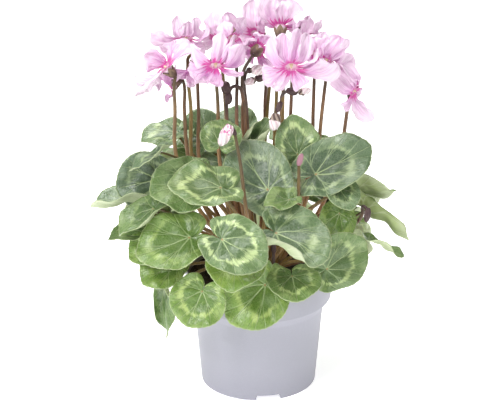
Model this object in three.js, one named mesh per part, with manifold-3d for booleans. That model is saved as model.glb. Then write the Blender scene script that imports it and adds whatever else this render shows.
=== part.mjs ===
// A potted cyclamen: marbled heart-shaped leaves and pale pink blooms in a plastic nursery pot.
// Millimetres, +Z up. The origin is on the pot's axis, on the surface that it stands on.
// -Y is the front of the plant and +X its right.
import * as THREE from 'three';
import { mergeVertices } from 'three/addons/utils/BufferGeometryUtils.js';
import Module from 'manifold-3d';

const wasm = await Module();
wasm.setup();

// Driving dimensions of the pot
const POT_HEIGHT = 100;
const RIM_RADIUS = 61;
const BAND_FOOT_RADIUS = 60;
const BAND_FOOT_HEIGHT = 76.5;
const SHOULDER_RADIUS = 53.5;
const SHOULDER_HEIGHT = 67;
const FOOT_RADIUS = 47.7;
const WALL = 1.5;
const FOOT_RING_WIDTH = 4;
const CHANNEL_HEIGHT = 4.4;
const FLOOR = 1.8;
const PAD_RADIUS = 14;
const POT_SIDES = 30;
const NOTCH = { count: 3, first: -80.3, bottom: 26, top: 19, height: 4.2 };
const DRAIN = { count: 6, radius: 3.2, ring: 29, sides: 6 };

// Driving dimensions of the soil and the tuber
const GAP = 0.3;
const SOIL_HEIGHT = 92;
const SOIL_LUMP = 2.4;
const SOIL_SIDES = 16;
const TUBER = { radius: 23, half: 11, height: 91 };

// Driving dimensions of the leaves, the stalks and the blooms
const BLADE = 0.8;
const FRONT_STEPS = 12;
const REAR_STEPS = 8;
const LEAF_RINGS = [0.55, 1];
const LEAF_OPEN = 171;
const STALK_BASE = 1.2;
const STALK_END = 0.55;
const STALK_SEAT = 0.85;
const SCAPE_BASE = 1.9;
const SCAPE_TOP = 1.25;
const SCAPE_RINGS = [3, 7, 11];
const PETAL_ROWS = [0.36, 0.7, 1];
const PETAL_THICK = 0.7;
const PETAL_ROOT = 0.36;
const PETAL_LEAST = 2.5;
const PETAL_CLEAR = 0.7;
const PETAL_ARCH = 2.5;
const PETAL_FAN = 0.2;
const MOUTH = 4.2;
const CUP_DEPTH = 6;
const CALYX_SEAT = 6.8;
const CALYX_LENGTH = 4.5;
const CALYX_ROUND = 2.7;

const V = (x, y, z) => new THREE.Vector3(x, y, z);
const radians = THREE.MathUtils.degToRad;

// Park and Miller's small generator, so that every draw is the same on each run
function draws(seed) {
  let state = seed;
  return () => {
    state = (state * 16807) % 2147483647;
    return state / 2147483647;
  };
}

// A closed geometry as a solid that can be joined and cut, and back again
function solid(geometry) {
  const bare = geometry.clone();
  bare.deleteAttribute('normal');
  bare.deleteAttribute('uv');
  const merged = mergeVertices(bare, 1e-4);
  const index = merged.index.array;
  const kept = [];
  for (let i = 0; i < index.length; i += 3) {
    const [a, b, c] = [index[i], index[i + 1], index[i + 2]];
    if (a !== b && b !== c && c !== a) kept.push(a, b, c);
  }
  return new wasm.Manifold(new wasm.Mesh({
    numProp: 3,
    vertProperties: new Float32Array(merged.attributes.position.array),
    triVerts: new Uint32Array(kept),
  }));
}

function geometryOf(body) {
  const mesh = body.getMesh();
  const geometry = new THREE.BufferGeometry();
  const points = [];
  for (let i = 0; i < mesh.numVert; i += 1) {
    for (let k = 0; k < 3; k += 1) points.push(mesh.vertProperties[i * mesh.numProp + k]);
  }
  geometry.setAttribute('position', new THREE.Float32BufferAttribute(points, 3));
  geometry.setIndex(Array.from(mesh.triVerts));
  const flat = geometry.toNonIndexed();
  flat.computeVertexNormals();
  return flat;
}

function joined(bodies) {
  return bodies.reduce((whole, body) => whole.add(body));
}

// Largest body of a solid, without the scraps that a cut leaves
function largest(body) {
  const bodies = body.decompose();
  return bodies.reduce((best, one) => (one.volume() > best.volume() ? one : best));
}

// The triangles between two rows of point numbers; a row may be a single point
function strip(near, far) {
  const faces = [];
  const steps = Math.max(near.length, far.length) - 1;
  const at = (row, j) => row[row.length === 1 ? 0 : j];
  for (let j = 0; j < steps; j += 1) {
    const [a, b, c, d] = [at(near, j), at(far, j), at(far, j + 1), at(near, j + 1)];
    if (b !== c) faces.push([a, b, c]);
    if (a !== d) faces.push([a, c, d]);
  }
  return faces;
}

// A sheet of even thickness over a surface; both faces are split into triangles alike
function sheet(points, faces, thickness) {
  const normals = points.map(() => V(0, 0, 0));
  for (const [a, b, c] of faces) {
    const normal = points[b].clone().sub(points[a]).cross(points[c].clone().sub(points[a]));
    for (const corner of [a, b, c]) normals[corner].add(normal);
  }
  const edges = new Set(faces.flatMap(([a, b, c]) => [`${a},${b}`, `${b},${c}`, `${c},${a}`]));
  const count = points.length;
  const index = [];
  for (const [a, b, c] of faces) index.push(a, b, c, c + count, b + count, a + count);
  for (const edge of edges) {
    const [a, b] = edge.split(',').map(Number);
    if (!edges.has(`${b},${a}`)) index.push(b, a, a + count, b, a + count, b + count);
  }
  const positions = [];
  for (const side of [0.5, -0.5]) {
    points.forEach((point, i) => {
      const place = point.clone().addScaledVector(normals[i].normalize(), side * thickness);
      positions.push(place.x, place.y, place.z);
    });
  }
  const geometry = new THREE.BufferGeometry();
  geometry.setAttribute('position', new THREE.Float32BufferAttribute(positions, 3));
  geometry.setIndex(index);
  return geometry;
}

// A round stalk along a curve, tapering from one radius to the other, closed at both ends.
// Each section is turned on from the one before, so that the stalk doesn't twist.
function stalk(curve, steps, sides, base, end) {
  const positions = [];
  const index = [];
  let normal = V(0.6, 0.8, 0);
  for (let i = 0; i <= steps; i += 1) {
    const centre = curve.getPoint(i / steps);
    const tangent = curve.getTangent(i / steps);
    normal = normal.clone().addScaledVector(tangent, -normal.dot(tangent)).normalize();
    const binormal = tangent.clone().cross(normal);
    const radius = base + (end - base) * (i / steps);
    for (let j = 0; j < sides; j += 1) {
      const turn = (2 * Math.PI * j) / sides;
      const place = centre.clone()
        .addScaledVector(normal, radius * Math.cos(turn))
        .addScaledVector(binormal, radius * Math.sin(turn));
      positions.push(place.x, place.y, place.z);
      const next = (j + 1) % sides;
      const [a, b] = [i * sides + j, i * sides + next];
      if (i < steps) index.push(a, b, b + sides, a, b + sides, a + sides);
    }
  }
  const last = steps * sides;
  for (let j = 1; j + 1 < sides; j += 1) {
    index.push(0, j + 1, j);
    index.push(last, last + j, last + j + 1);
  }
  const geometry = new THREE.BufferGeometry();
  geometry.setAttribute('position', new THREE.Float32BufferAttribute(positions, 3));
  geometry.setIndex(index);
  return geometry;
}

// An egg between two points, for buds and calyces
function egg(from, to, radius, sides, rings) {
  const axis = to.clone().sub(from);
  const ball = new THREE.SphereGeometry(1, sides, rings);
  ball.rotateX(Math.PI / 2);
  ball.scale(radius, radius, axis.length() / 2);
  ball.applyQuaternion(new THREE.Quaternion().setFromUnitVectors(V(0, 0, 1), axis.clone().normalize()));
  const middle = from.clone().add(to).multiplyScalar(0.5);
  ball.translate(middle.x, middle.y, middle.z);
  return ball;
}

// The pot: one lathed wall with a foot ring, a raised channel and a flat pad in the middle
function pot() {
  const slope = (SHOULDER_RADIUS - FOOT_RADIUS) / SHOULDER_HEIGHT;
  const floorTop = CHANNEL_HEIGHT + FLOOR;
  const profile = [
    [0, 0],
    [PAD_RADIUS, 0],
    [PAD_RADIUS + 2, CHANNEL_HEIGHT],
    [FOOT_RADIUS - FOOT_RING_WIDTH - 1, CHANNEL_HEIGHT],
    [FOOT_RADIUS - FOOT_RING_WIDTH, 0],
    [FOOT_RADIUS, 0],
    [SHOULDER_RADIUS, SHOULDER_HEIGHT],
    [BAND_FOOT_RADIUS, BAND_FOOT_HEIGHT],
    [RIM_RADIUS, POT_HEIGHT],
    [RIM_RADIUS - WALL - 0.3, POT_HEIGHT],
    [BAND_FOOT_RADIUS - WALL, BAND_FOOT_HEIGHT],
    [SHOULDER_RADIUS - WALL, SHOULDER_HEIGHT],
    [FOOT_RADIUS + slope * floorTop - WALL, floorTop],
    [PAD_RADIUS + 0.6, floorTop],
    [PAD_RADIUS - 1.4, FLOOR],
    [0, FLOOR],
  ];
  const body = new THREE.LatheGeometry(profile.map(([r, z]) => new THREE.Vector2(r, z)), POT_SIDES);
  body.rotateX(Math.PI / 2);
  let whole = solid(body);
  if (whole.volume() < 0) throw new Error('the pot is inside out');
  for (let i = 0; i < NOTCH.count; i += 1) {
    const outline = new THREE.Shape();
    outline.moveTo(-NOTCH.bottom / 2, -1);
    outline.lineTo(NOTCH.bottom / 2, -1);
    outline.lineTo(NOTCH.top / 2, NOTCH.height);
    outline.lineTo(-NOTCH.top / 2, NOTCH.height);
    outline.closePath();
    const cutter = new THREE.ExtrudeGeometry(outline, { depth: 12, bevelEnabled: false });
    cutter.rotateX(Math.PI / 2);
    cutter.translate(0, 1 - (FOOT_RADIUS - FOOT_RING_WIDTH - 3), 0);
    cutter.rotateZ(radians(90 + NOTCH.first + (360 * i) / NOTCH.count));
    whole = whole.subtract(solid(cutter));
  }
  for (let i = 0; i < DRAIN.count; i += 1) {
    const cutter = new THREE.CylinderGeometry(DRAIN.radius, DRAIN.radius, 12, DRAIN.sides);
    cutter.rotateX(Math.PI / 2);
    const turn = radians(30 + (360 * i) / DRAIN.count);
    cutter.translate(DRAIN.ring * Math.cos(turn), DRAIN.ring * Math.sin(turn), CHANNEL_HEIGHT);
    whole = whole.subtract(solid(cutter));
  }
  return geometryOf(whole);
}

// The tuber: a flattened ball, half out of the soil
function tuberBall(grown) {
  const ball = new THREE.SphereGeometry(1, 10, 6);
  ball.rotateX(Math.PI / 2);
  ball.scale(TUBER.radius + grown, TUBER.radius + grown, TUBER.half + grown);
  ball.translate(0, 0, TUBER.height);
  return solid(ball);
}

// The soil: it fills the pot, with a lumpy top and a hollow that the tuber sits in
function soil() {
  const draw = draws(71);
  const floorTop = CHANNEL_HEIGHT + FLOOR;
  const slope = (SHOULDER_RADIUS - FOOT_RADIUS) / SHOULDER_HEIGHT;
  const wallAt = FOOT_RADIUS - WALL;
  const bandSlope = (RIM_RADIUS - BAND_FOOT_RADIUS) / (POT_HEIGHT - BAND_FOOT_HEIGHT);
  const room = 2 * GAP;
  const edge = BAND_FOOT_RADIUS - WALL - room + bandSlope * (SOIL_HEIGHT - BAND_FOOT_HEIGHT) * 0.5;
  const profile = [
    [0, floorTop + room],
    [wallAt + slope * floorTop - room, floorTop + room],
    [SHOULDER_RADIUS - WALL - room, SHOULDER_HEIGHT],
    [BAND_FOOT_RADIUS - WALL - room, BAND_FOOT_HEIGHT + 0.5],
    [edge, SOIL_HEIGHT],
    [48, SOIL_HEIGHT],
    [26, SOIL_HEIGHT],
    [12, SOIL_HEIGHT],
    [0, SOIL_HEIGHT],
  ];
  const body = new THREE.LatheGeometry(profile.map(([r, z]) => new THREE.Vector2(r, z)), SOIL_SIDES);
  body.rotateX(Math.PI / 2);
  body.deleteAttribute('normal');
  body.deleteAttribute('uv');
  const merged = mergeVertices(body, 1e-4);
  const place = merged.attributes.position;
  for (let i = 0; i < place.count; i += 1) {
    const top = place.getZ(i) > SOIL_HEIGHT - 0.1;
    if (top) place.setZ(i, SOIL_HEIGHT + SOIL_LUMP * (draw() - 0.6));
  }
  return geometryOf(largest(solid(merged).subtract(tuberBall(GAP))));
}

// Half the heart of a leaf: its reach from the stalk, as a part of its length, at an angle from the tip
const HEART = { radius: 0.7, ahead: 0.3, point: 0.05, lobe: 0.07, notch: 0.5 };

function reach(angle) {
  const turn = Math.abs(angle);
  const round = HEART.ahead * Math.cos(turn)
    + Math.sqrt(HEART.radius ** 2 - (HEART.ahead * Math.sin(turn)) ** 2);
  const point = HEART.point * Math.exp(-((turn / 0.2) ** 2));
  const lobe = HEART.lobe * Math.exp(-(((turn - 2.35) / 0.45) ** 2));
  const notch = 1 - HEART.notch * THREE.MathUtils.smoothstep(turn, 2.55, 3.1);
  return (round + point + lobe) * notch;
}

// What a leaf is made from: its length, its own axes and its habits
function leafFrame(leaf) {
  const joint = V(...leaf.joint);
  const ahead = V(...leaf.tip).sub(joint);
  const length = ahead.length();
  ahead.normalize();
  const outward = V(leaf.joint[0], leaf.joint[1], 0).normalize();
  const face = leaf.face ? V(...leaf.face) : outward.multiplyScalar(0.6).add(V(0, 0, 1));
  const up = face.addScaledVector(ahead, -face.dot(ahead)).normalize();
  const left = up.clone().cross(ahead);
  const broad = leaf.width / (2 * HEART.radius * length);
  return { joint, ahead, up, left, length, broad };
}

// Rolls what lies past a line of the blade up or down on a round arc
function curled(along, height, from, far, turn) {
  if (along <= from || !turn) return [along, height];
  const bend = radians(turn) / (far - from);
  const angle = bend * (along - from);
  return [
    from + Math.sin(angle) / bend - height * Math.sin(angle),
    (1 - Math.cos(angle)) / bend + height * Math.cos(angle),
  ];
}

// A point of a leaf's middle surface, at an angle from its tip and a part of the way out
function leafPoint(leaf, frame, angle, out) {
  const far = reach(angle) * out;
  let ahead = far * Math.cos(angle);
  let side = far * Math.sin(angle) * frame.broad;
  let height = (leaf.cup ?? 0.15) * far * far
    + (leaf.fold ?? 0.1) * (Math.sqrt(side * side + 0.02) - Math.sqrt(0.02))
    - (leaf.droop ?? 0.15) * Math.max(0, ahead) ** 2
    + (leaf.wave ?? 0.04) * out * out * Math.sin((leaf.waves ?? 5) * angle + (leaf.phase ?? 0));
  const half = HEART.radius * frame.broad;
  [side, height] = curled(side, height, leaf.leftFrom ?? 0.15, half, leaf.left ?? 0);
  [side, height] = curled(-side, height, leaf.rightFrom ?? 0.15, half, leaf.right ?? 0);
  side = -side;
  [ahead, height] = curled(ahead, height, leaf.tipFrom ?? 0.3, 1, leaf.tipCurl ?? 0);
  [ahead, height] = curled(-ahead, height, 0.1, 0.45, leaf.backCurl ?? 0);
  ahead = -ahead;
  return frame.joint.clone()
    .addScaledVector(frame.ahead, ahead * frame.length)
    .addScaledVector(frame.left, side * frame.length)
    .addScaledVector(frame.up, height * frame.length);
}

function leafBlade(leaf, steps) {
  const frame = leafFrame(leaf);
  const points = [frame.joint.clone()];
  const faces = [];
  let near = [0];
  for (const out of LEAF_RINGS) {
    const far = [];
    for (let j = 0; j <= steps; j += 1) {
      const angle = radians(-LEAF_OPEN + (2 * LEAF_OPEN * j) / steps);
      far.push(points.push(leafPoint(leaf, frame, angle, out)) - 1);
    }
    faces.push(...strip(near, far));
    near = far;
  }
  return sheet(points, faces, BLADE);
}

// Every leaf: the joint with its stalk, its tip, its width, where its face looks and how it bends.
// Leaves that press through each other grow in one node, which they name.
const LEAVES = [
  { joint: [-67, 22, 210], tip: [-94, 8, 206], width: 36, face: [-0.2, -0.3, 1] },
  { joint: [-79, -26, 211], tip: [-101, -38, 199], width: 38, face: [-0.7, 0.1, 0.9], lift: 14 },
  { node: 'leaves_left', joint: [-82, -10, 181], tip: [-114, -14, 175], width: 50,
    face: [-0.2, -1, 0.35] },
  { node: 'leaves_left', joint: [-94, -14, 163], tip: [-134, -22, 162], width: 40,
    face: [0, 0.45, 1], fold: 0.5 },
  { joint: [-84, -46, 170], tip: [-110, -58, 154], width: 38,
    face: [-0.4, -0.3, 1], left: 75, leftFrom: 0.3 },
  { node: 'leaves_low_left', joint: [-98, -8, 145], tip: [-121, -16, 132], width: 34,
    face: [-0.4, 0.4, 1] },
  { node: 'leaves_low_left', joint: [-90, -28, 142], tip: [-120, -38, 139], width: 36,
    face: [0, 0, 1], fold: 0.3 },
  { joint: [-49, -38, 189.7], tip: [-84, -52, 185.7], width: 54,
    face: [-0.2, -0.7, 0.8], wave: 0.08, right: 50, rightFrom: 0.3 },
  { joint: [-30, -56, 192], tip: [-70, -64, 196], width: 50, face: [0.1, -0.4, 1] },
  { joint: [-44, 28, 199], tip: [-50, 40, 223], width: 38, face: [-0.2, -1, 0.3] },
  { joint: [-31, -24, 217], tip: [-28, -10, 232], width: 34, face: [-0.1, -1, 0.8] },
  { joint: [7, -38, 183], tip: [-18, -14, 213], width: 52, face: [0.1, -1, 0.4] },
  { joint: [-6, -3, 208.6], tip: [9, 2, 227], width: 42,
    face: [-0.2, -1, 0.6], left: 130, right: 130, leftFrom: 0.08, rightFrom: 0.08, cup: 0.3 },
  { joint: [-15, 36, 204], tip: [-32, 54, 215], width: 40, face: [-0.1, -0.7, 0.8] },
  { joint: [31, -17, 205], tip: [27, -9, 235], width: 34, face: [0, -1, 0.2], right: -40 },
  { joint: [45, -30, 193], tip: [88, -12, 210], width: 46, face: [0.1, -1, 0.9] },
  { joint: [64, -32, 182.5], tip: [74, -48, 171.5], width: 28, face: [0.3, -1, 0.7] },
  { joint: [24, -54, 181], tip: [5, -64, 180], width: 22, face: [0, -0.5, 0.9] },
  { joint: [13, -74, 161], tip: [52, -96, 149], width: 60,
    face: [0.2, -0.6, 0.9], right: 110, rightFrom: 0.26 },
  { joint: [54, -56, 122], tip: [84, -48, 143], width: 44, face: [0.4, -1, 0.5] },
  { joint: [65, -26, 158], tip: [56, -44, 141], width: 32, face: [0.3, -0.8, 0.6] },
  { node: 'leaves_right', joint: [76, 0, 167], tip: [109, -12, 171], width: 40, face: [0, 0.7, 1] },
  { node: 'leaves_right', joint: [86, -14, 156], tip: [119, -26, 134], width: 42,
    face: [0.4, 0.1, 1], fold: 0.6 },
  { joint: [88, -34, 139], tip: [115, -44, 128], width: 28, face: [0.3, 0.3, 1] },
  { joint: [26, -74, 124], tip: [30, -100, 114], width: 44, face: [0.1, -0.5, 1] },
  { joint: [5, -66, 113], tip: [-22, -80, 87], width: 54, face: [0.1, -1, 0.4] },
  { joint: [-18, -68, 139], tip: [-20, -96, 122], width: 48, face: [0, -0.6, 1] },
  { joint: [-29, -96, 165], tip: [4, -110, 152], width: 48, face: [-0.1, -0.8, 0.8] },
  { joint: [-55, -62, 152], tip: [-95, -74, 142], width: 50, face: [-0.2, -0.7, 0.8] },
  { node: 'leaves_rim_left', joint: [-70, -46, 123.5], tip: [-92, -58, 110.5], width: 38,
    face: [-0.3, -0.8, 0.7] },
  { joint: [-45, -74, 111], tip: [-57, -84, 86], width: 46, face: [-0.1, -1, 0.3] },
  { node: 'leaves_rim_left', joint: [-76, -51, 103], tip: [-73, -61, 66], width: 28,
    face: [-0.8, -0.5, 0.2], lift: 8 },
  { node: 'leaves_low_left', joint: [-83, -40, 137], tip: [-103, -47, 127], width: 34,
    face: [-0.3, -0.6, 0.8], lift: 7 },
];

// The leaves behind, which the blooms and the front leaves hide
const REAR_LEAVES = [
  { node: 'leaves_back_1', joint: [28, 44, 194], tip: [48, 72, 187], width: 50 },
  { node: 'leaves_back_1', joint: [46, 70, 182], tip: [62, 94, 156], width: 50, face: [0.6, 0.8, 0.5] },
  { node: 'leaves_back_2', joint: [-16, 58, 194], tip: [-27, 90, 185], width: 48 },
  { node: 'leaves_back_2', joint: [-24, 84, 181], tip: [-33, 110, 155], width: 50,
    face: [-0.3, 0.9, 0.5] },
  { node: 'leaves_back_3', joint: [-50, 46, 188], tip: [-75, 65, 179], width: 48 },
  { node: 'leaves_back_3', joint: [-70, 64, 174], tip: [-91, 81, 148], width: 48,
    face: [-0.8, 0.7, 0.5] },
  { node: 'leaves_back_3', joint: [-44, 31, 183], tip: [-62, 44, 200], width: 44,
    face: [-0.2, -0.6, 0.8] },
  { node: 'leaves_back_4', joint: [56, 34, 170], tip: [82, 52, 159], width: 46 },
  { node: 'leaves_back_4', joint: [76, 48, 158], tip: [94, 64, 132], width: 46, face: [0.9, 0.7, 0.5] },
  { node: 'leaves_back_5', joint: [6, 58, 180], tip: [11, 86, 161], width: 46, face: [0.1, 0.8, 0.7] },
  { node: 'leaves_back_5', joint: [12, 86, 160], tip: [18, 114, 149], width: 48 },
  { node: 'leaves_back_5', joint: [18, 106, 149], tip: [22, 122, 118], width: 46,
    face: [0.2, 0.9, 0.4] },
  { node: 'leaves_back_6', joint: [-78, 28, 156], tip: [-103, 38, 145], width: 44 },
  { node: 'leaves_back_6', joint: [-96, 38, 143], tip: [-109, 46, 115], width: 42,
    face: [-0.9, 0.5, 0.4] },
  { node: 'leaves_back_7', joint: [58, 62, 128], tip: [79, 85, 115], width: 48 },
  { node: 'leaves_back_7', joint: [74, 78, 114], tip: [85, 91, 81], width: 44, face: [0.8, 0.8, 0.3] },
  { node: 'leaves_back_7', joint: [42, 70, 150], tip: [52, 94, 121], width: 46, face: [0.4, 0.9, 0.4] },
  { node: 'leaves_back_8', joint: [-4, 82, 128], tip: [-6, 110, 114], width: 48 },
  { node: 'leaves_back_8', joint: [-6, 102, 113], tip: [-8, 113, 79], width: 44, face: [0, 1, 0.3] },
  { node: 'leaves_back_8', joint: [24, 84, 124], tip: [31, 104, 97], width: 42, face: [0.3, 0.9, 0.4] },
  { node: 'leaves_back_9', joint: [-52, 69, 128], tip: [-71, 92, 113], width: 44 },
  { node: 'leaves_back_9', joint: [-66, 84, 112], tip: [-75, 95, 79], width: 44,
    face: [-0.7, 0.8, 0.3] },
  { node: 'leaves_back_9', joint: [-32, 74, 148], tip: [-44, 96, 120], width: 44,
    face: [-0.4, 0.9, 0.4] },
  { node: 'leaves_back_10', joint: [-72, 36, 126], tip: [-91, 48, 113], width: 42 },
  { node: 'leaves_back_10', joint: [-84, 46, 112], tip: [-91, 54, 85], width: 38, face: [-1, 0.6, 0.3] },
  { node: 'leaves_back_10', joint: [-73, 44, 139], tip: [-88, 52, 111], width: 30,
    face: [-0.8, 0.7, 0.4] },
  { node: 'leaves_back_11', joint: [66, 14, 140], tip: [89, 24, 129], width: 42 },
  { node: 'leaves_back_11', joint: [79, 22, 127], tip: [86, 30, 99], width: 38, face: [1, 0.4, 0.4] },
];

// The flower stalks: the points that each passes through above the tuber, up to its calyx or bud.
// Those that carry a bloom name it, and end behind its mouth.
const SCAPES = [
  { bloom: 'left', by: [[-66, -8, 197], [-67, -12, 244], [-67, -14, 266]] },
  { bloom: 'left_low', by: [[-56, 0, 190], [-60, 2, 236], [-60, 6, 256]] },
  { bloom: 'nodding', by: [[-54, 8, 187], [-55, 8, 236], [-57, 6, 272], [-55, 2, 282]] },
  { bloom: 'left_high', by: [[-48, 12, 185], [-49, 14, 233], [-51, 20, 270]] },
  { bloom: 'front_left', by: [[-32, 4, 193], [-33, -2, 243], [-34, -18, 272]] },
  { bloom: 'middle_high', by: [[-25, 18, 183], [-27, 20, 231], [-30, 28, 268]] },
  { bloom: 'middle', by: [[-17, 1, 191], [-18, 3, 237], [-18, 4, 272]] },
  { bloom: 'turned', by: [[-10, 6, 187], [-11, 4, 235], [-13, -2, 268]] },
  { bloom: 'crown_left', by: [[4, 20, 183], [7, 22, 230], [9, 26, 271]] },
  { bloom: 'crown', by: [[12, 14, 189], [14, 14, 238], [15, 6, 273]] },
  { bloom: 'front_right', by: [[19, -2, 193], [19, -4, 242], [20, -14, 268]] },
  { bloom: 'crown_right', by: [[24, 10, 187], [26, 18, 232], [28, 34, 266]] },
  { bloom: 'right_cup', by: [[42, 6, 187], [44, 12, 234], [45, 20, 262]] },
  { bloom: 'right', by: [[46, 0, 190], [51, 4, 236], [54, 8, 262]] },
  { bloom: 'right_low', by: [[64, 4, 188], [71, 0, 237], [72, -4, 249]] },
  { by: [[-24, 6, 190], [-26, 2, 238], [-26, -4, 254]], bud: [-27, -4, 263], round: 3.6 },
  { by: [[-12, 11, 187], [-13, 8, 235], [-13, 1, 248], [-16, -2, 257], [-21, -4, 258], [-24.5, -4, 252]],
    bud: [-24.5, -4, 243], round: 3 },
  { by: [[-8, 10, 186], [-10, 8, 235], [-11, 0, 267], [-9, -2, 271]], bud: [-6, -4, 272], round: 2.4 },
  { by: [[5, 24, 187], [5, 22, 234], [5, 10, 260], [3, 4, 264]], bud: [-3, 0, 263], round: 3.4 },
  { by: [[20, 6, 191], [18, 2, 241], [19, -10, 254], [23, -16, 259]], bud: [31, -19, 258], round: 3.4 },
  { by: [[17, 8, 187], [19, 2, 240], [17, -12, 247]], bud: [14, -16, 240.5], round: 2.2 },
  { by: [[-9, -50, 160], [-12, -56, 188], [-15, -46, 210], [-19, -38, 230]], bud: [-21, -36, 235],
    round: 1.8 },
  { by: [[31, -44, 180], [31.5, -42, 197], [31.5, -40, 206]], bud: [34, -40, 217], round: 2.6 },
  { by: [[60, -10, 128], [79, -22, 148], [83, -33, 161], [83.5, -38, 169], [87, -41, 167]],
    bud: [85.5, -43, 157], round: 3 },
  { by: [[11, -28, 112], [12, -30, 126]], bud: [12, -34, 136], round: 2 },
];

// The blooms: the middle of the mouth, where it looks, and each petal's tip from there and width.
// Blooms that press through each other grow in one node, which they name.
const FRONT = [0, -0.95, -0.3];
const BLOOMS = {
  left: { mouth: [-74, -14, 278], look: [-0.8, -0.5, -0.3], petals: [
    [16, 10, 15, 24], [-16, 8, 5, 19], [-18, 4, -14, 24], [-8, 2, -24, 17], [6, 16, 17, 17]] },
  left_low: { mouth: [-71, 4, 256], look: [-0.8, -0.2, -0.5], petals: [
    [6, 12, 12, 14], [0, 0, 16, 13], [-2, 4, -12, 11], [-10, 10, 6, 13]] },
  nodding: { mouth: [-52, -4, 272], look: [0, -0.3, -1], petals: [
    [-4, -3, -12, 14], [-17, 7, -3, 14], [8, 0, -10, 13], [-6, 6, -8, 11]] },
  left_high: { mouth: [-58, 8, 295], look: FRONT, petals: [
    [-9, 8, 14, 14], [0, 8, 16, 14], [5, 12, 14, 13], [-27, 5, 2, 22], [-5, 3, -20, 22]] },
  middle_high: { mouth: [-32, 14, 294], look: FRONT, petals: [
    [-4, 8, 19, 14], [7, 8, 18, 14], [-13, 2, 13, 15], [-15, 4, -7, 16], [12, 6, -6, 12]] },
  middle: { mouth: [-21, -4, 299], look: FRONT, petals: [
    [9, 8, 12, 16], [6, 9, -9, 12], [3, 3, -17, 14], [-8, 8, 10, 12]] },
  front_left: { mouth: [-34, -34, 286], look: FRONT, petals: [
    [0, 10, 25, 22], [18, 9, 19, 20], [21, 4, -5, 11], [-19, 8, 14, 17], [-23, 5, -6, 17],
    [-8, 2, -17, 22]] },
  crown_left: { mouth: [-2, 16, 296], look: [-0.5, -0.75, -0.4], petals: [
    [-4, 8, 24, 17], [-16, 6, 10, 22], [5, 6, 16, 13], [-13, 2, -8, 17], [7, 5, -5, 11]] },
  crown: { node: 'crown', mouth: [17, 6, 305], look: [0, 0.5, 0.85], petals: [
    [-8, 0, 24, 16], [6, 4, 21, 20], [24, 10, 3, 16], [-11, 4, 4, 12], [9, 16, 8, 14]] },
  crown_right: { node: 'crown', mouth: [36, 20, 293], look: [0.3, -0.8, -0.5], petals: [
    [5, -5, 18, 18], [14, 4, 6, 16], [-8, 8, 12, 14], [5, 4, -13, 12]] },
  turned: { mouth: [-1, 0, 288], look: [0.3, 0.6, -0.6], petals: [
    [-8, -5, 9, 13], [5, 8, 12, 14], [13, 4, -2, 14], [8, -4, -14, 14], [-11, 8, -4, 14]] },
  front_right: { mouth: [25, -34, 285], look: FRONT, petals: [
    [-11, 9, 25, 23], [5, 11, 27, 19], [17, 9, 20, 19], [35, 6, -4, 22], [-27, 6, -10, 18],
    [-10, 3, -21, 17], [8, 2, -20, 17]] },
  right_cup: { mouth: [47, 10, 281], look: [0, -0.85, -0.5], petals: [
    [-6, 2, 15, 17], [6, 8, 16, 16], [12, 5, 6, 14], [-11, 6, 2, 14], [2, 2, -12, 14]] },
  right: { node: 'right', mouth: [54, -4, 281], look: [-0.5, -0.5, -0.7], petals: [
    [11, 4, 18, 19], [22, 5, 9, 18], [20, 2, -5, 14], [6, 0, -17, 16], [-1, 6, 15, 11]] },
  right_low: { node: 'right', mouth: [76, -10, 257], look: [0.7, -0.4, -0.4], petals: [
    [-17, 0, 2, 13], [-14, 8, 21, 18], [0, 8, 18, 14], [-9, -2, -12, 11], [16, 2, -25, 17],
    [6, 10, -10, 10]] },
};

// The buds that already show their rolled petals: from the calyx to the tip, and how thick
const BUDS = [
  { from: [-5.5, -4.2, 272], to: [4, -9, 274], round: 3.6 },
  { from: [-3.5, -0.4, 263], to: [-11, -8, 262], round: 2.6 },
  { from: [31.5, -19.1, 258.2], to: [41, -22, 262], round: 2.6 },
  { from: [13.8, -16.3, 240], to: [11, -20, 226.5], round: 4.2 },
  { from: [-22.4, -38, 238], to: [-31, -43, 222], round: 4.4 },
];

// A stalk's foot on the tuber, on the side that it leans to
function rootTowards(place, radius) {
  const side = V(place.x, place.y, 0).normalize().multiplyScalar(radius);
  const rise = TUBER.half * Math.sqrt(1 - (radius / TUBER.radius) ** 2);
  return V(side.x, side.y, TUBER.height + rise - 2.5);
}

// The stalk of a leaf arches out from the tuber and meets the blade from below
function leafStalk(leaf, steps) {
  const { joint, up } = leafFrame(leaf);
  const end = joint.clone().addScaledVector(up, -STALK_SEAT);
  const rise = end.z - TUBER.height;
  const root = rootTowards(end, THREE.MathUtils.clamp(21 - rise / 10, 9, 20));
  const run = V(end.x - root.x, end.y - root.y, 0);
  const first = root.clone().addScaledVector(run, 0.12);
  first.z += 0.45 * rise + 12 + (leaf.lift ?? 0);
  const second = end.clone().addScaledVector(up, -0.3 * run.length()).addScaledVector(run, -0.1);
  second.z += leaf.lift ?? 0;
  const curve = new THREE.CubicBezierCurve3(root, first, second, end);
  return solid(stalk(curve, steps, 3, STALK_BASE, STALK_END));
}

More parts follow.
